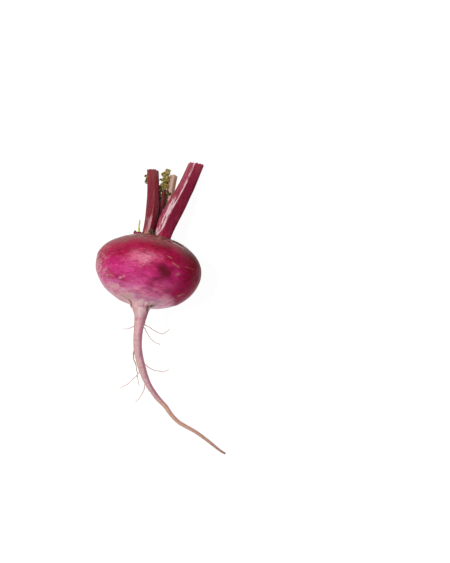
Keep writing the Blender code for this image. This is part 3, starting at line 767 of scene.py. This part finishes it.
def paint_sides(finish, length, rightward, drift, fine, patches):
    """Painted shade in purple on the globe's right side, and a mottled pale left side whose upper edge is a
    painted reflection. The root's left side is weathered, and its right side is mauve, partly painted shade.

    Gives back how far each place is in the painted shade of the globe's right side.
    """
    # Painted shade: the globe's right side is stained a darker purple
    shaded_right_side = finish.times(finish.spread(rightward, 0.38, 0.85), finish.spread(length, -23.5, -20.0))
    finish.stain(finish.times(shaded_right_side, 0.9), RIGHT_PAINTED_SHADE)
    leftward = finish.frayed(rightward, patches, 0.17, 0.35, 0.65)
    pale_side = finish.times(finish.spread(leftward, -0.84, -1.0), finish.spread(length, -20.5, -27.0))
    pale_low = finish.times(finish.spread(rightward, -0.5, -0.82), finish.spread(length, -23.5, -26.5))
    # The pale upper left edge is a painted reflection of the bright surroundings
    painted_rim_reflection = finish.times(
        finish.spread(leftward, -0.82, -1.08, 0.0, 0.8),
        finish.spread(length, 9.0, -6.0),
        finish.spread(fine, 0.40, 0.58, 0.3, 1.0),
    )
    finish.coat(finish.times(finish.most(pale_side, pale_low, painted_rim_reflection), 0.75), LEFT_PALE_AND_RIM_REFLECTION)
    rooty = finish.spread(length, *NECK_ENDS)
    # The root's mauve right side is partly its own colour and partly painted shade
    mauve_and_shade = finish.spread(finish.plus(rightward, drift), 0.55, 1.25, 0.0, 0.85)
    finish.coat(finish.times(rooty, mauve_and_shade, finish.spread(length, -125.0, -90.0, 0.35, 1.0)), ROOT_MAUVE_AND_SHADE)
    finish.stain(finish.times(rooty, finish.spread(rightward, -0.72, -1.0, 0.0, 0.8)), WEATHER_STAIN)
    return shaded_right_side


def paint_marks(finish, fine, patches):
    """Ragged bruises with dark cores, a few of them painted shade, torn scratches, creases with partly
    painted shade, pale flecks and rosy spots.
    """
    # Some of these strokes are painted shade on the right side rather than bruises
    ragged = finish.frayed(finish.attribute("bruise"), patches, 0.22)
    finish.coat(finish.spread(ragged, 0.0, 0.8, 0.0, 0.8), BRUISE_AND_SHADE_RED)
    finish.coat(finish.spread(ragged, 0.4, 1.3, 0.0, 0.95), BRUISE_CORE)
    torn = finish.spread(fine, 0.3, 0.55, 0.55, 1.0)
    finish.coat(finish.times(finish.attribute("scratch"), torn), SCRATCH_TAN)
    for mark, colour in (("crease", CREASE_BROWN_AND_SHADE), ("fleck", FLECK_PALE), ("rosy", SPOT_RED)):
        finish.coat(finish.attribute(mark), colour)


def skin_finish(colours):
    """Crimson shoulders over magenta, running down into blushing white flesh and a tan root tip.

    The colour follows the length along the axis, pushed up and down by noise that is drawn out round the
    globe. The gloss is duller on the crown, on both sides and in the creases.
    """
    finish = Finish("turnip_skin", 0.30)
    length, rightward = finish.attribute("length"), finish.attribute("rightward")
    drift = finish.noise((0.05, 0.05, 0.09), detail=4, roughness=0.6)
    streaks = finish.noise((0.10, 0.10, 1.1), detail=5, roughness=0.62, distortion=0.4)
    fine = finish.noise((0.35, 0.35, 2.6), detail=4, roughness=0.6, distortion=0.6)
    patches = finish.noise((0.13, 0.13, 0.32), detail=5, roughness=0.65, distortion=0.8)
    shifted = finish.frayed(finish.frayed(length, drift, 3.5), streaks, 2.2)
    from_crown = finish.math("SUBTRACT", CROWN_END, shifted)
    finish.colour = finish.ramp(finish.math("DIVIDE", from_crown, RAMP_LENGTH), skin_stops(colours))
    paint_reds(finish, length, fine, patches)
    paint_crown(finish, length, fine)
    shaded_right_side = paint_sides(finish, length, rightward, drift, fine, patches)
    paint_marks(finish, fine, patches)
    dull = finish.most(
        finish.times(shaded_right_side, 0.95),
        finish.attribute("crease"),
        finish.spread(length, 5.0, 11.0, 0.0, 0.8),
        finish.spread(rightward, -0.5, -0.85, 0.0, 0.65),
    )
    gloss = finish.times(finish.math("SUBTRACT", 1.0, dull), GLOSS)
    finish.feed(finish.shader.inputs["Specular IOR Level"], gloss)
    finish.relief(streaks, 0.25, 0.5)
    finish.relief(finish.noise((0.55, 0.55, 1.1), detail=4, roughness=0.6), 0.45, 0.6)
    return finish.paint()


# Paints of the rootlets, the thin stem and the fibre: base, tip and nodes
ROOTLET_PINK = (0.80, 0.54, 0.52)
ROOTLET_NODE = (0.56, 0.30, 0.26)
STEM_PAINTS = ((0.62, 0.58, 0.10), (0.60, 0.55, 0.12), (0.40, 0.36, 0.08))
FIBRE_PAINTS = ((0.085, 0.048, 0.02), (0.06, 0.035, 0.016), (0.035, 0.02, 0.012))
DRY_TAN = (0.40, 0.29, 0.13)


def fine_root_finish(name, at_base, at_tip, node):
    """A rootlet's skin: its base colour turns into its tip colour, with nodes and tan where it is dry."""
    finish = Finish(name, 0.6, 0.3)
    patch = finish.noise((0.6, 0.6, 0.35), detail=3)
    along = finish.frayed(finish.attribute("along"), patch, 0.15)
    finish.colour = finish.ramp(along, [(0.0, at_base), (0.45, scaled(at_base, 0.9)), (1.0, at_tip)])
    finish.coat(finish.spread(patch, 0.55, 0.7, 0.0, 0.5), node)
    finish.coat(finish.attribute("dry"), DRY_TAN)
    finish.relief(patch, 0.1, 0.5)
    return finish.paint()


def tube_shell(stations, thick, thin, seed, columns=10, spacing=0.7, wobble=0.12, dry=0.0):
    """A rootlet: a circle that thins along its path, which wobbles sideways a little more towards the tip.

    It flares at its base, and dry is how far it has dried to tan.
    """
    length, places, _ = smooth_path([(*station[:3], 0) for station in stations], spacing)
    along = length / length[-1]
    sway = np.stack([ripple(places, wave, seed + k) for k, wave in enumerate((5.0, 4.0, 6.0))], 1)
    places = places + (wobble * 2 * fade(along, 0.0, 0.6))[:, None] * sway
    _, side, up = path_frames(places)
    radius = thick + (thin - thick) * along**0.8
    radius = radius + 0.5 * thick * np.exp(-length / 0.9)
    angles = ring_angles(columns)
    reach = radius[:, None] * (1 + 0.12 * ripple(places, 2.5, seed + 3)[:, None]) + 0 * angles
    rings = ring_points(places, side, up, reach, angles)
    return rings, {
        "along": along[:, None],
        "dry": np.array([[dry]]),
        "grain": turned(angles, length[:, None]),
    }


def crown_depth(places):
    """The ellipse equation of the crown at each place: under 1 inside the globe and over 1 outside it."""
    away = places - CENTRE
    height = away @ AXIS
    across = np.hypot(away @ RIGHT, away @ DOWN)
    return (height / CROWN_HALF_HEIGHT) ** 2 + (across / GLOBE_RADIUS) ** 2


def five_sided(angles, corner, bluntness):
    """A five-sided section's reach at each angle: the straight-sided reach to a power that blunts it."""
    turn = np.mod(angles - math.radians(corner), 2 * np.pi / 5) - np.pi / 5
    return (math.cos(np.pi / 5) / np.cos(turn)) ** bluntness


def stalk_shell(stations, cut, flatness, corner, ridges, seed, strings=26, columns=120, ragged=0.5):
    """A leaf stalk: a five-sided section carried along its path, flared at its foot and cut off at its end.

    The section fills its radius on both sides. A narrow bump at each ridge, fine strings and noise come on
    top. The last rows slide along the path onto the cut plane, whose edge is ragged, and rings of pith that
    shrink and sink a little close the end.
    """
    length, places, radii = smooth_path(stations, 0.7)
    point, facing = np.array(cut[0]), unit(np.array(cut[1], float))
    keep = (crown_depth(places) > FOOT_DEPTH) & ((places - point) @ facing < 0)
    length, places, radii = length[keep], places[keep], radii[keep]
    tangent, side, up = path_frames(places)
    angles = ring_angles(columns)
    section = five_sided(angles, corner, 0.75)
    across, over = section * np.cos(angles), section * np.sin(angles)
    across = 2 * (across - across.min()) / np.ptp(across) - 1
    over = (2 * (over - over.min()) / np.ptp(over) - 1) * flatness
    from_foot = (length - length[0])[:, None]
    reach = 1 + 0 * (from_foot + angles)
    for place, height, sharpness in ridges:
        reach = reach + height * np.exp(sharpness * (np.cos(angles - math.radians(place)) - 1))
    turning = turned(angles, 0.25 * from_foot, 8)
    reach = reach + 0.010 * np.cos(strings * angles + 0.8 * ripple(turning, 9.0, seed))
    reach = reach + 0.012 * ripple(turning, 7.0, seed + 1)
    reach = reach + 0.10 * np.exp(-from_foot / 2.2)
    wide, high = (reach * across)[..., None], (reach * over)[..., None]
    rings = places[:, None] + radii[:, None, None] * (wide * side[:, None] + high * up[:, None])
    jag = ragged * ripple(rings[-1], 2.2, seed + 2) + 0.4 * ragged * ripple(rings[-1], 0.9, seed + 3)
    short = jag - (rings[-1] - point) @ facing
    slide = fade(length, length[-1] - 5, length[-1])[:, None] * (short / (tangent[-1] @ facing))[None, :]
    rings = rings + slide[..., None] * tangent[-1]
    rings[..., 2] = np.maximum(rings[..., 2], FLOOR_GAP)
    middle = rings[-1].mean(0)
    shrink, sink = (np.array(row)[:, None, None] for row in (PITH_SHRINK, PITH_SINK))
    flat = middle + (rings[-1] - middle) * shrink
    flat = flat - facing * (((flat - middle) @ facing)[..., None] * (1 - shrink * 0.6) + sink * ragged)
    flat = flat + facing * (0.12 * ripple(flat, 1.3, seed + 4))[..., None]
    flat[..., 2] = np.maximum(flat[..., 2], 1.2 * FLOOR_GAP)
    whole = length[-1] - length[0]
    along = np.concatenate([from_foot[:, 0] / whole, np.ones(len(flat))])[:, None]
    pith = np.concatenate([np.zeros(len(length)), np.linspace(0.35, 1, len(flat))])[:, None]
    return np.concatenate([rings, flat]), {
        "along": along,
        "pith": pith,
        "grain": turned(angles, along * whole),
        "facing": np.sin(angles),
        "sidewise": across,
    }


STRING_STAIN = (0.50, 0.30, 0.40)
# Painted shade towards each stalk's right edge
RIGHT_EDGE_SHADE = (0.45, 0.35, 0.45)
HOLLOW_STAIN = (0.35, 0.30, 0.25)


def stalk_finish(name, foot, lit, shaded, end, pale, line, roughness=0.4):
    """A stalk's skin: a left and a right colour that meet at the front ridge, under fine lengthwise strings.

    Pale streaks, a painted highlight, lie left of that ridge and widen towards the foot, and the cut end is
    fibrous pith. line holds the numbers of the painted highlight streaks.
    """
    finish = Finish(name, roughness, 0.3)
    ridge, height, rise, narrow, strength = line
    along, across = finish.attribute("along"), finish.attribute("sidewise")
    strings = finish.noise((9.0, 9.0, 0.22), detail=5, roughness=0.7)
    broad = finish.noise((2.2, 2.2, 0.05), detail=3, roughness=0.55)
    blotch = finish.noise((1.2, 1.2, 0.14), detail=4, roughness=0.6)
    # The right colour is painted shade, met at the front ridge
    finish.colour = finish.mix(finish.spread(across, ridge - 0.02, ridge + 0.08), lit, shaded)
    from_foot = finish.frayed(along, broad, 0.05)
    finish.coat(finish.spread(from_foot, 0.03, 0.22, 0.9, 0.0), foot)
    finish.coat(finish.spread(from_foot, 0.75, 1.0, 0.0, 0.6), end)
    finish.stain(finish.spread(strings, 0.45, 0.65, 0.0, 0.7), STRING_STAIN)
    on_lit_side = finish.spread(across, ridge, ridge + 0.25, 1.0, 0.2)
    finish.coat(finish.times(finish.spread(strings, 0.47, 0.32, 0.0, 0.28), on_lit_side), pale)
    finish.coat(finish.spread(blotch, 0.5, 0.75, 0.0, 0.3), end)
    # Painted shade darkens the right edge
    finish.stain(finish.spread(across, 0.55, 1.0, 0.0, 0.7), RIGHT_EDGE_SHADE)
    wide = finish.spread(along, height + rise, height - rise, narrow, 1.15)
    edge = finish.spread(along, 0.03, 0.2, ridge - 0.6, ridge)
    off = finish.math("DIVIDE", finish.math("SUBTRACT", edge, across), wide)
    streaks = finish.plus(finish.noise((4.6, 4.6, 0.09), detail=3, roughness=0.65), 0.105)
    whole = finish.math("SUBTRACT", streaks, finish.times(off, 0.24))
    # A painted highlight along the ridge, in streaks, widening towards the foot on the facets that face up
    glow = finish.times(
        finish.spread(off, -0.06, 0.06),
        finish.spread(whole, 0.45, 0.54, 0.04, 0.95),
        finish.spread(along, height + rise, height - rise, strength, 1.0),
        finish.spread(finish.attribute("facing"), 0.1, 0.4, 0.0, 0.92),
    )
    finish.coat(glow, scaled(pale, 0.75, 0.2))
    fibre = finish.noise((5.0, 5.0, 1.0), detail=4, roughness=0.7)
    inner = finish.mix(finish.spread(fibre, 0.35, 0.7), scaled(pale, 0.6), scaled(end, 0.6, 0.08))
    finish.coat(finish.spread(finish.attribute("pith"), 0.05, 0.5), inner)
    finish.relief(strings, 0.18, 0.7)
    finish.relief(blotch, 0.15, 0.4)
    return finish.paint()


def blade_shell(
    vein, lobes, ruffle, seed, thickness=0.5, columns=44, spacing=0.32, jag=0.3, roll=0.0, tone=0.4
):
    """A torn leaf blade: across it the place is the cosine of the ring angle times the half width.

    The half width is notched by lobes and by noise, and the blade waves up and down more towards its edges.
    The root of the ring's sine gives its thickness, which swells into the vein along its middle. The blade
    is rolled about its vein, and tone is its shade from dark to dry.
    """
    length, places, halves = smooth_path(vein, spacing)
    _, level, upright = path_frames(places)
    side = level * math.cos(roll) + upright * math.sin(roll)
    up = upright * math.cos(roll) - level * math.sin(roll)
    angles = ring_angles(columns)
    v = np.cos(angles)
    wave = 2 * np.pi * lobes * (length / length[-1])[:, None]
    blank = 0 * (wave + v)
    cells = np.stack([3 * v + blank, length[:, None] + blank, seed + blank], -1)
    notch = 1 - 0.24 * np.abs(v) * (1 + np.cos(wave + 1.5 * v))
    notch = notch + jag * np.abs(v) ** 1.5 * ripple(cells, 2.0, seed)
    notch = notch + 0.5 * jag * v**4 * ripple(cells, 0.8, seed + 1)
    across = halves[:, None] * v * notch
    lift = ruffle * np.abs(v) ** 1.4 * np.sin(1.7 * wave + 2.4 * v)
    lift = lift + 0.5 * ruffle * v**2 * ripple(cells, 1.3, seed + 2) + 0.16 * ripple(cells, 1.6, seed + 3)
    vein_swell = 0.9 * np.exp(-((v / 0.13) ** 2)) * (1 - 0.6 * length / length[-1])[:, None]
    lift = lift + thickness * (0.5 + vein_swell) * np.sign(np.sin(angles)) * np.abs(np.sin(angles)) ** 0.5
    rings = places[:, None] + across[..., None] * side[:, None] + lift[..., None] * up[:, None]
    rings[..., 2] = np.maximum(rings[..., 2], FLOOR_GAP)
    return rings, {
        "across": np.abs(v),
        "tone": np.array([[tone]]),
        "grain": np.stack([across, length[:, None] + blank, lift], -1) + 3.0 * seed,
    }


def leaflets(vein, count, size, seed, tones=(0.1, 0.7)):
    """Short curled blades that stand off a vein, each turned, tilted, rolled and toned by a dice throw."""
    dice = np.random.default_rng(seed)
    _, places, _ = smooth_path(vein, 0.5)
    tangent, side, up = path_frames(places)
    shells = []
    for number in range(count):
        at = int(dice.uniform(0.02, 0.98) * (len(places) - 1))
        sign = 1 if number % 2 else -1
        lean, rise = dice.uniform(-0.5, 1.1), dice.uniform(-0.8, 1.1)
        heading = unit(sign * side[at] + lean * tangent[at] + rise * up[at])
        reach = size * dice.uniform(0.6, 1.2)
        start = places[at]
        bend = unit(up[at] * dice.uniform(-1, 1) + tangent[at] * dice.uniform(-1, 1)) * reach * 0.3
        stations = [
            (*(start - 0.3 * heading), 0.2 * reach),
            (*(start + 0.45 * reach * heading + bend), 0.34 * reach),
            (*(start + reach * heading + 0.4 * bend), 0.16 * reach),
        ]
        shells.append(blade_shell(stations, 2, 0.2 * reach, seed + 7 * number, 0.32, 22, 0.34, 0.45,
                                  dice.uniform(-1.2, 1.2), dice.uniform(*tones)))
    return shells


def leaf_finish(name, shades):
    """A torn, wilting leaf: each blade's tone picks from the shades, with darker hollows and a paler vein."""
    finish = Finish(name, 0.6, 0.3)
    across = finish.attribute("across")
    patch = finish.noise((0.55, 0.55, 0.55), detail=4, roughness=0.6)
    fine = finish.noise((2.4, 2.4, 2.4), detail=3)
    tone = finish.frayed(finish.attribute("tone"), patch, 0.25)
    tone = finish.plus(tone, finish.spread(across, 0.5, 1.0, 0.0, 0.15))
    finish.colour = finish.ramp(tone, list(zip((0.0, 0.35, 0.7, 1.0), shades)))
    finish.coat(finish.spread(across, 0.2, 0.03, 0.0, 0.4), scaled(shades[1], 0.7, 0.1))
    finish.stain(finish.spread(fine, 0.5, 0.7, 0.0, 0.6), HOLLOW_STAIN)
    finish.relief(fine, 0.2, 0.7)
    return finish.paint()


class TurnipShape(bpy.types.PropertyGroup):
    """Sizes that a user would change."""

    wrinkle: bpy.props.FloatProperty(
        name="Wrinkle", description="How strongly the skin is wrinkled and dented", default=1.0, min=0, max=2)
    rootlet_thick: bpy.props.FloatProperty(
        name="Rootlet base", description="Radius of a rootlet at its base", default=0.00042, unit="LENGTH")
    rootlet_thin: bpy.props.FloatProperty(
        name="Rootlet tip", description="Radius of a rootlet at its tip", default=0.00017, unit="LENGTH")
    ruffle: bpy.props.FloatProperty(
        name="Leaf ruffle", description="Height of the waves on the leaf", default=0.0007, unit="LENGTH")
    key_power: bpy.props.FloatProperty(
        name="Key light", description="Power of the small light at the upper left", default=4.9, unit="POWER")
    fill_power: bpy.props.FloatProperty(
        name="Fill light", description="Power of the wide light by the root", default=1.65, unit="POWER")
    surroundings: bpy.props.FloatProperty(
        name="Surroundings", description="Brightness of the pale surroundings", default=0.28, min=0)


def colour_property(name, description, default):
    """A colour that the panel shows."""
    return bpy.props.FloatVectorProperty(
        name=name, description=description, default=default, subtype="COLOR", size=3, min=0, max=1)


class TurnipColours(bpy.types.PropertyGroup):
    """Colours that a user would change."""

    shoulder: colour_property("Shoulder", "Skin near the crown", (0.26, 0.02, 0.025))
    crimson: colour_property("Crimson", "Skin above the middle", (0.40, 0.003, 0.052))
    magenta: colour_property("Magenta", "Skin below the middle", (0.58, 0.02, 0.18))
    blush: colour_property("Blush", "Skin where the red runs out", (0.70, 0.22, 0.36))
    flesh: colour_property("Flesh", "The pale neck", (0.61, 0.42, 0.42))
    root_pink: colour_property("Root", "The upper tap root", (0.70, 0.44, 0.435))
    root_tan: colour_property("Root tan", "The lower tap root", (0.76, 0.46, 0.32))
    root_tip: colour_property("Root tip", "The tap root's tip", (0.10, 0.05, 0.03))
    stalk_red: colour_property("Stalk red", "The big right stalk", (0.34, 0.012, 0.055))
    stalk_dull: colour_property("Stalk dull red", "The upright left stalk", (0.235, 0.018, 0.032))
    # The pale colour also paints the highlight streaks along the stalks' ridges
    stalk_pale: colour_property("Stalk pale", "Pale ridges and the rear stalk", (0.78, 0.46, 0.50))
    leaf: colour_property("Leaf", "The torn leaf", (0.20, 0.14, 0.025))


class TURNIP_OT_skin(bpy.types.Operator):
    """Grow the globe, neck and tap root as one skin"""

    bl_idname = "turnip.skin"
    bl_label = "Skin"

    def execute(self, context):
        shape, colours = context.scene.turnip_shape, context.scene.turnip_colours
        rings, lengths, azimuth, reach = skin_rings()
        lean = COLOUR_LEAN * np.cos(azimuth) * fade(lengths, -27, -20) * fade(lengths, 12, 4)
        marks = {
            "bruise": strokes(rings, BRUISES_AND_SHADE),
            "scratch": strokes(rings, SCRATCHES),
            "fleck": strokes(rings, FLECKS),
            "crease": np.maximum(strokes(rings, CREASES), spots(rings, ROOT_SCABS)),
            "rosy": spots(rings, ROSY_SPOTS),
            "dusty": strokes(rings, DUSTY),
            "flush": strokes(rings, FLUSHES),
            "rosy_skin": strokes(rings, ROSY_SKIN_AND_GLOW),
            "rightward": np.cos(azimuth),
            "length": lengths + lean,
            "grain": np.stack([reach * np.cos(azimuth), reach * np.sin(azimuth), lengths], -1),
        }
        moved = shape_skin(rings, lengths, azimuth, reach, shape.wrinkle)
        keys = ("shoulder", "crimson", "magenta", "blush", "flesh", "root_pink", "root_tan", "root_tip")
        finish = skin_finish([tuple(getattr(colours, key)) for key in keys])
        piece = grow("turnip_skin", [(moved, marks)], finish)
        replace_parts(piece, "globe_and_root")
        return {"FINISHED"}


class TURNIP_OT_rootlets(bpy.types.Operator):
    """Grow the side rootlets of the neck and the tap root"""

    bl_idname = "turnip.rootlets"
    bl_label = "Rootlets"

    def execute(self, context):
        shape, colours = context.scene.turnip_shape, context.scene.turnip_colours
        thick, thin = shape.rootlet_thick / MM, shape.rootlet_thin / MM
        shells = []
        for number, points in enumerate(ROOTLETS):
            dry = 0.9 if number in DRY_ROOTLETS else 0.1
            shells.append(tube_shell(points, thick * (1 + 0.35 * dry), thin, 20 + 5 * number, dry=dry))
        finish = fine_root_finish("fine_roots", ROOTLET_PINK, tuple(colours.root_tan), ROOTLET_NODE)
        piece = grow("rootlets", shells, finish)
        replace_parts(piece, "globe_and_root")
        return {"FINISHED"}


class TURNIP_OT_stalks(bpy.types.Operator):
    """Grow the four cut leaf stalks and the broken stub"""

    bl_idname = "turnip.stalks"
    bl_label = "Stalks"

    def execute(self, context):
        colours = context.scene.turnip_colours
        red, dull, pale = (tuple(getattr(colours, key)) for key in ("stalk_red", "stalk_dull", "stalk_pale"))
        # Each stalk's shaded colour is painted shade on its right facets; the rear stalk's olive is partly
        # its own colour
        right = stalk_shell(STALK_RIGHT, RIGHT_CUT, 0.8, 99, RIGHT_RIDGES, 31)
        finish = stalk_finish("stalk_right", (0.42, 0.008, 0.065), red, scaled(red, 0.72),
                              (0.44, 0.05, 0.09), pale, RIGHT_HIGHLIGHT_STREAKS, 0.36)
        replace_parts(grow("right_stalk", [right], finish, 50), "stalk_right")
        left = stalk_shell(STALK_LEFT, LEFT_CUT, 0.95, 77, LEFT_RIDGES, 41, ragged=0.4)
        finish = stalk_finish("stalk_left", (0.40, 0.05, 0.09), dull, (0.28, 0.015, 0.034),
                              (0.28, 0.05, 0.05), (0.52, 0.12, 0.17), LEFT_HIGHLIGHT_STREAKS)
        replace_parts(grow("left_stalk", [left], finish, 50), "stalk_left")
        leafy = stalk_shell(STALK_LEAFY, LEAFY_CUT, 1.0, 90, LEAFY_RIDGES, 51, 14, 64, 0.3)
        finish = stalk_finish("stalk_leafy", (0.22, 0.015, 0.04), (0.22, 0.010, 0.03), (0.13, 0.008, 0.018),
                              (0.10, 0.03, 0.03), pale, LEAFY_HIGHLIGHT_STREAKS, 0.5)
        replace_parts(grow("leafy_stalk", [leafy], finish, 60), "stalk_leafy")
        rear = stalk_shell(STALK_REAR, REAR_CUT, 0.9, 75, REAR_RIDGES, 61, 18, 80, 0.3)
        finish = stalk_finish("stalk_rear", (0.42, 0.12, 0.14), (0.66, 0.37, 0.31), (0.36, 0.25, 0.10),
                              (0.50, 0.36, 0.22), pale, REAR_HIGHLIGHT_STREAKS, 0.5)
        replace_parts(grow("rear_stalk", [rear], finish, 60), "stalk_rear")
        stub = stalk_shell(CROWN_STUB, STUB_CUT, 0.8, 90, STUB_RIDGES, 71, 16, 64, 0.55)
        finish = stalk_finish("crown_stub", (0.36, 0.012, 0.05), (0.30, 0.010, 0.05), (0.20, 0.02, 0.06),
                              (0.26, 0.02, 0.06), (0.40, 0.03, 0.10), STUB_HIGHLIGHT_STREAKS, 0.5)
        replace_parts(grow("broken_stub", [stub], finish, 60), "crown_stub")
        return {"FINISHED"}


class TURNIP_OT_greens(bpy.types.Operator):
    """Grow the torn leaf, the thin stem, the withered scrap and the dry fibre"""

    bl_idname = "turnip.greens"
    bl_label = "Leaf remains"

    def execute(self, context):
        shape, colours = context.scene.turnip_shape, context.scene.turnip_colours
        ruffle = shape.ruffle / MM
        leaf = tuple(colours.leaf)
        shells = [
            blade_shell(vein, lobes, ruffle * share, seed, tone=tone)
            for vein, lobes, share, seed, tone in LEAF_BLADES
        ]
        for curls in LEAF_CURLS:
            shells.extend(leaflets(*curls))
        shades = (scaled(leaf, 0.18), leaf, (0.42, 0.33, 0.05), (0.66, 0.55, 0.26))
        finish = leaf_finish("torn_leaf", shades)
        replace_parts(grow("torn_leaf", shells, finish), "leaf_remnant")
        stem = tube_shell(STUB_STEM, 0.66, 0.48, 500, 12, 0.5, 0.05)
        finish = fine_root_finish("thin_stem", *STEM_PAINTS)
        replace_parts(grow("thin_stem", [stem], finish), "stub_stem")
        scrap = [
            blade_shell(WITHERED_LEAF, 2, 0.4, 510, 0.4, tone=0.5),
            blade_shell(DRY_LEG, 3, 0.3, 514, 0.4, tone=0.85),
            blade_shell(GREEN_LEG, 3, 0.3, 517, 0.4, tone=0.05),
            *leaflets(WITHERED_LEAF[2:], 4, 1.3, 520, (0.1, 0.9)),
        ]
        shades = ((0.035, 0.04, 0.012), (0.16, 0.08, 0.04), (0.34, 0.14, 0.10), (0.58, 0.36, 0.16))
        finish = leaf_finish("withered", shades)
        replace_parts(grow("withered_scrap", scrap, finish), "withered_leaf")
        stations = []
        squash = (GLOBE_RADIUS / CROWN_HALF_HEIGHT) ** 2 - 1
        for degrees, height in DRY_FIBRE:
            place = on_globe(degrees, height)
            stations.append(tuple(place + FIBRE_LIFT * unit(place - CENTRE + AXIS * height * squash)))
        fibre = tube_shell(stations, FIBRE_RADIUS, 0.32, 530, 12, 0.4, 0.05)
        finish = fine_root_finish("dry_fibre", *FIBRE_PAINTS)
        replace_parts(grow("fibre", [fibre], finish), "dry_fibre")
        return {"FINISHED"}


# The stage and the camera, in metres
FLOOR_HALF = 2
FLOOR_GLOW = 0.94
FLOOR_GREY = (0.15, 0.15, 0.15)
KEY_SIZE = 0.22
KEY_PLACE = (-0.26, 0.11, 0.78)
FILL_SIZE = 1.5
FILL_PLACE = (0.25, -0.8, 1.0)
LAMP_AIM = (0.0, 0.0, 0.03)
CAMERA_X = 0.0542
CAMERA_Y = -0.0011
CAMERA_DISTANCE = 1.1
METRES_PER_PIXEL = 0.00072
PHOTO_HEIGHT = 563
SENSOR = 36


class TURNIP_OT_studio(bpy.types.Operator):
    """Set the pale floor, the soft lights and the camera straight above"""

    bl_idname = "turnip.studio"
    bl_label = "Studio"

    def execute(self, context):
        scene, shape = context.scene, context.scene.turnip_shape
        corners = FLOOR_HALF * np.array([(-1, -1, 0), (1, -1, 0), (1, 1, 0), (-1, 1, 0)], float)
        mesh = bpy.data.meshes.new("floor")
        mesh.from_pydata(corners.tolist(), [], [(0, 1, 2, 3)])
        floor = bpy.data.objects.new("floor", mesh)
        scene.collection.objects.link(floor)
        pale = Finish("pale_floor", 0.9, 0.0)
        pale.shader.inputs["Emission Color"].default_value = (1, 1, 1, 1)
        pale.shader.inputs["Emission Strength"].default_value = FLOOR_GLOW
        pale.colour = FLOOR_GREY
        mesh.materials.append(pale.paint())
        world = bpy.data.worlds.new("surroundings")
        world.use_nodes = True
        world.node_tree.nodes["Background"].inputs[0].default_value = (1, 1, 1, 1)
        world.node_tree.nodes["Background"].inputs[1].default_value = shape.surroundings
        world.cycles_visibility.glossy = False
        scene.world = world
        for name, size, power, place in (
            ("key", KEY_SIZE, shape.key_power, KEY_PLACE),
            ("fill", FILL_SIZE, shape.fill_power, FILL_PLACE),
        ):
            lamp = bpy.data.lights.new(name, "AREA")
            lamp.shape = "DISK"
            lamp.size = size
            lamp.energy = power
            light = bpy.data.objects.new(name, lamp)
            light.location = place
            light.visible_glossy = name == "key"
            x, y, z = np.array(LAMP_AIM) - np.array(place)
            light.rotation_euler = (math.atan2(math.hypot(x, y), -z), 0, math.atan2(-x, y))
            scene.collection.objects.link(light)
        lens = bpy.data.cameras.new("camera")
        lens.sensor_fit = "VERTICAL"
        lens.sensor_height = SENSOR
        lens.lens = CAMERA_DISTANCE / METRES_PER_PIXEL / PHOTO_HEIGHT * SENSOR
        lens.clip_start = 0.01
        camera = bpy.data.objects.new("camera", lens)
        camera.location = (CAMERA_X, CAMERA_Y, CAMERA_DISTANCE)
        scene.collection.objects.link(camera)
        scene.camera = camera
        scene.view_settings.view_transform = "Standard"
        return {"FINISHED"}


class TURNIP_PT_panel(bpy.types.Panel):
    """Lists the pieces and the values that shape them"""

    bl_label = "Turnip"
    bl_space_type = "VIEW_3D"
    bl_region_type = "UI"
    bl_category = "Turnip"

    def draw(self, context):
        for operator in OPERATORS:
            self.layout.operator(operator.bl_idname)
        for group in (context.scene.turnip_shape, context.scene.turnip_colours):
            for key in group.__annotations__:
                self.layout.prop(group, key)


OPERATORS = (TURNIP_OT_skin, TURNIP_OT_rootlets, TURNIP_OT_stalks, TURNIP_OT_greens, TURNIP_OT_studio)
CLASSES = (TurnipShape, TurnipColours, *OPERATORS, TURNIP_PT_panel)


def register():
    for cls in CLASSES:
        bpy.utils.register_class(cls)
    bpy.types.Scene.turnip_shape = bpy.props.PointerProperty(type=TurnipShape)
    bpy.types.Scene.turnip_colours = bpy.props.PointerProperty(type=TurnipColours)


def unregister():
    del bpy.types.Scene.turnip_colours
    del bpy.types.Scene.turnip_shape
    for cls in reversed(CLASSES):
        bpy.utils.unregister_class(cls)


def main():
    register()
    bpy.ops.turnip.skin()
    bpy.ops.turnip.rootlets()
    bpy.ops.turnip.stalks()
    bpy.ops.turnip.greens()
    bpy.ops.turnip.studio()


if __name__ == "__main__":
    main()
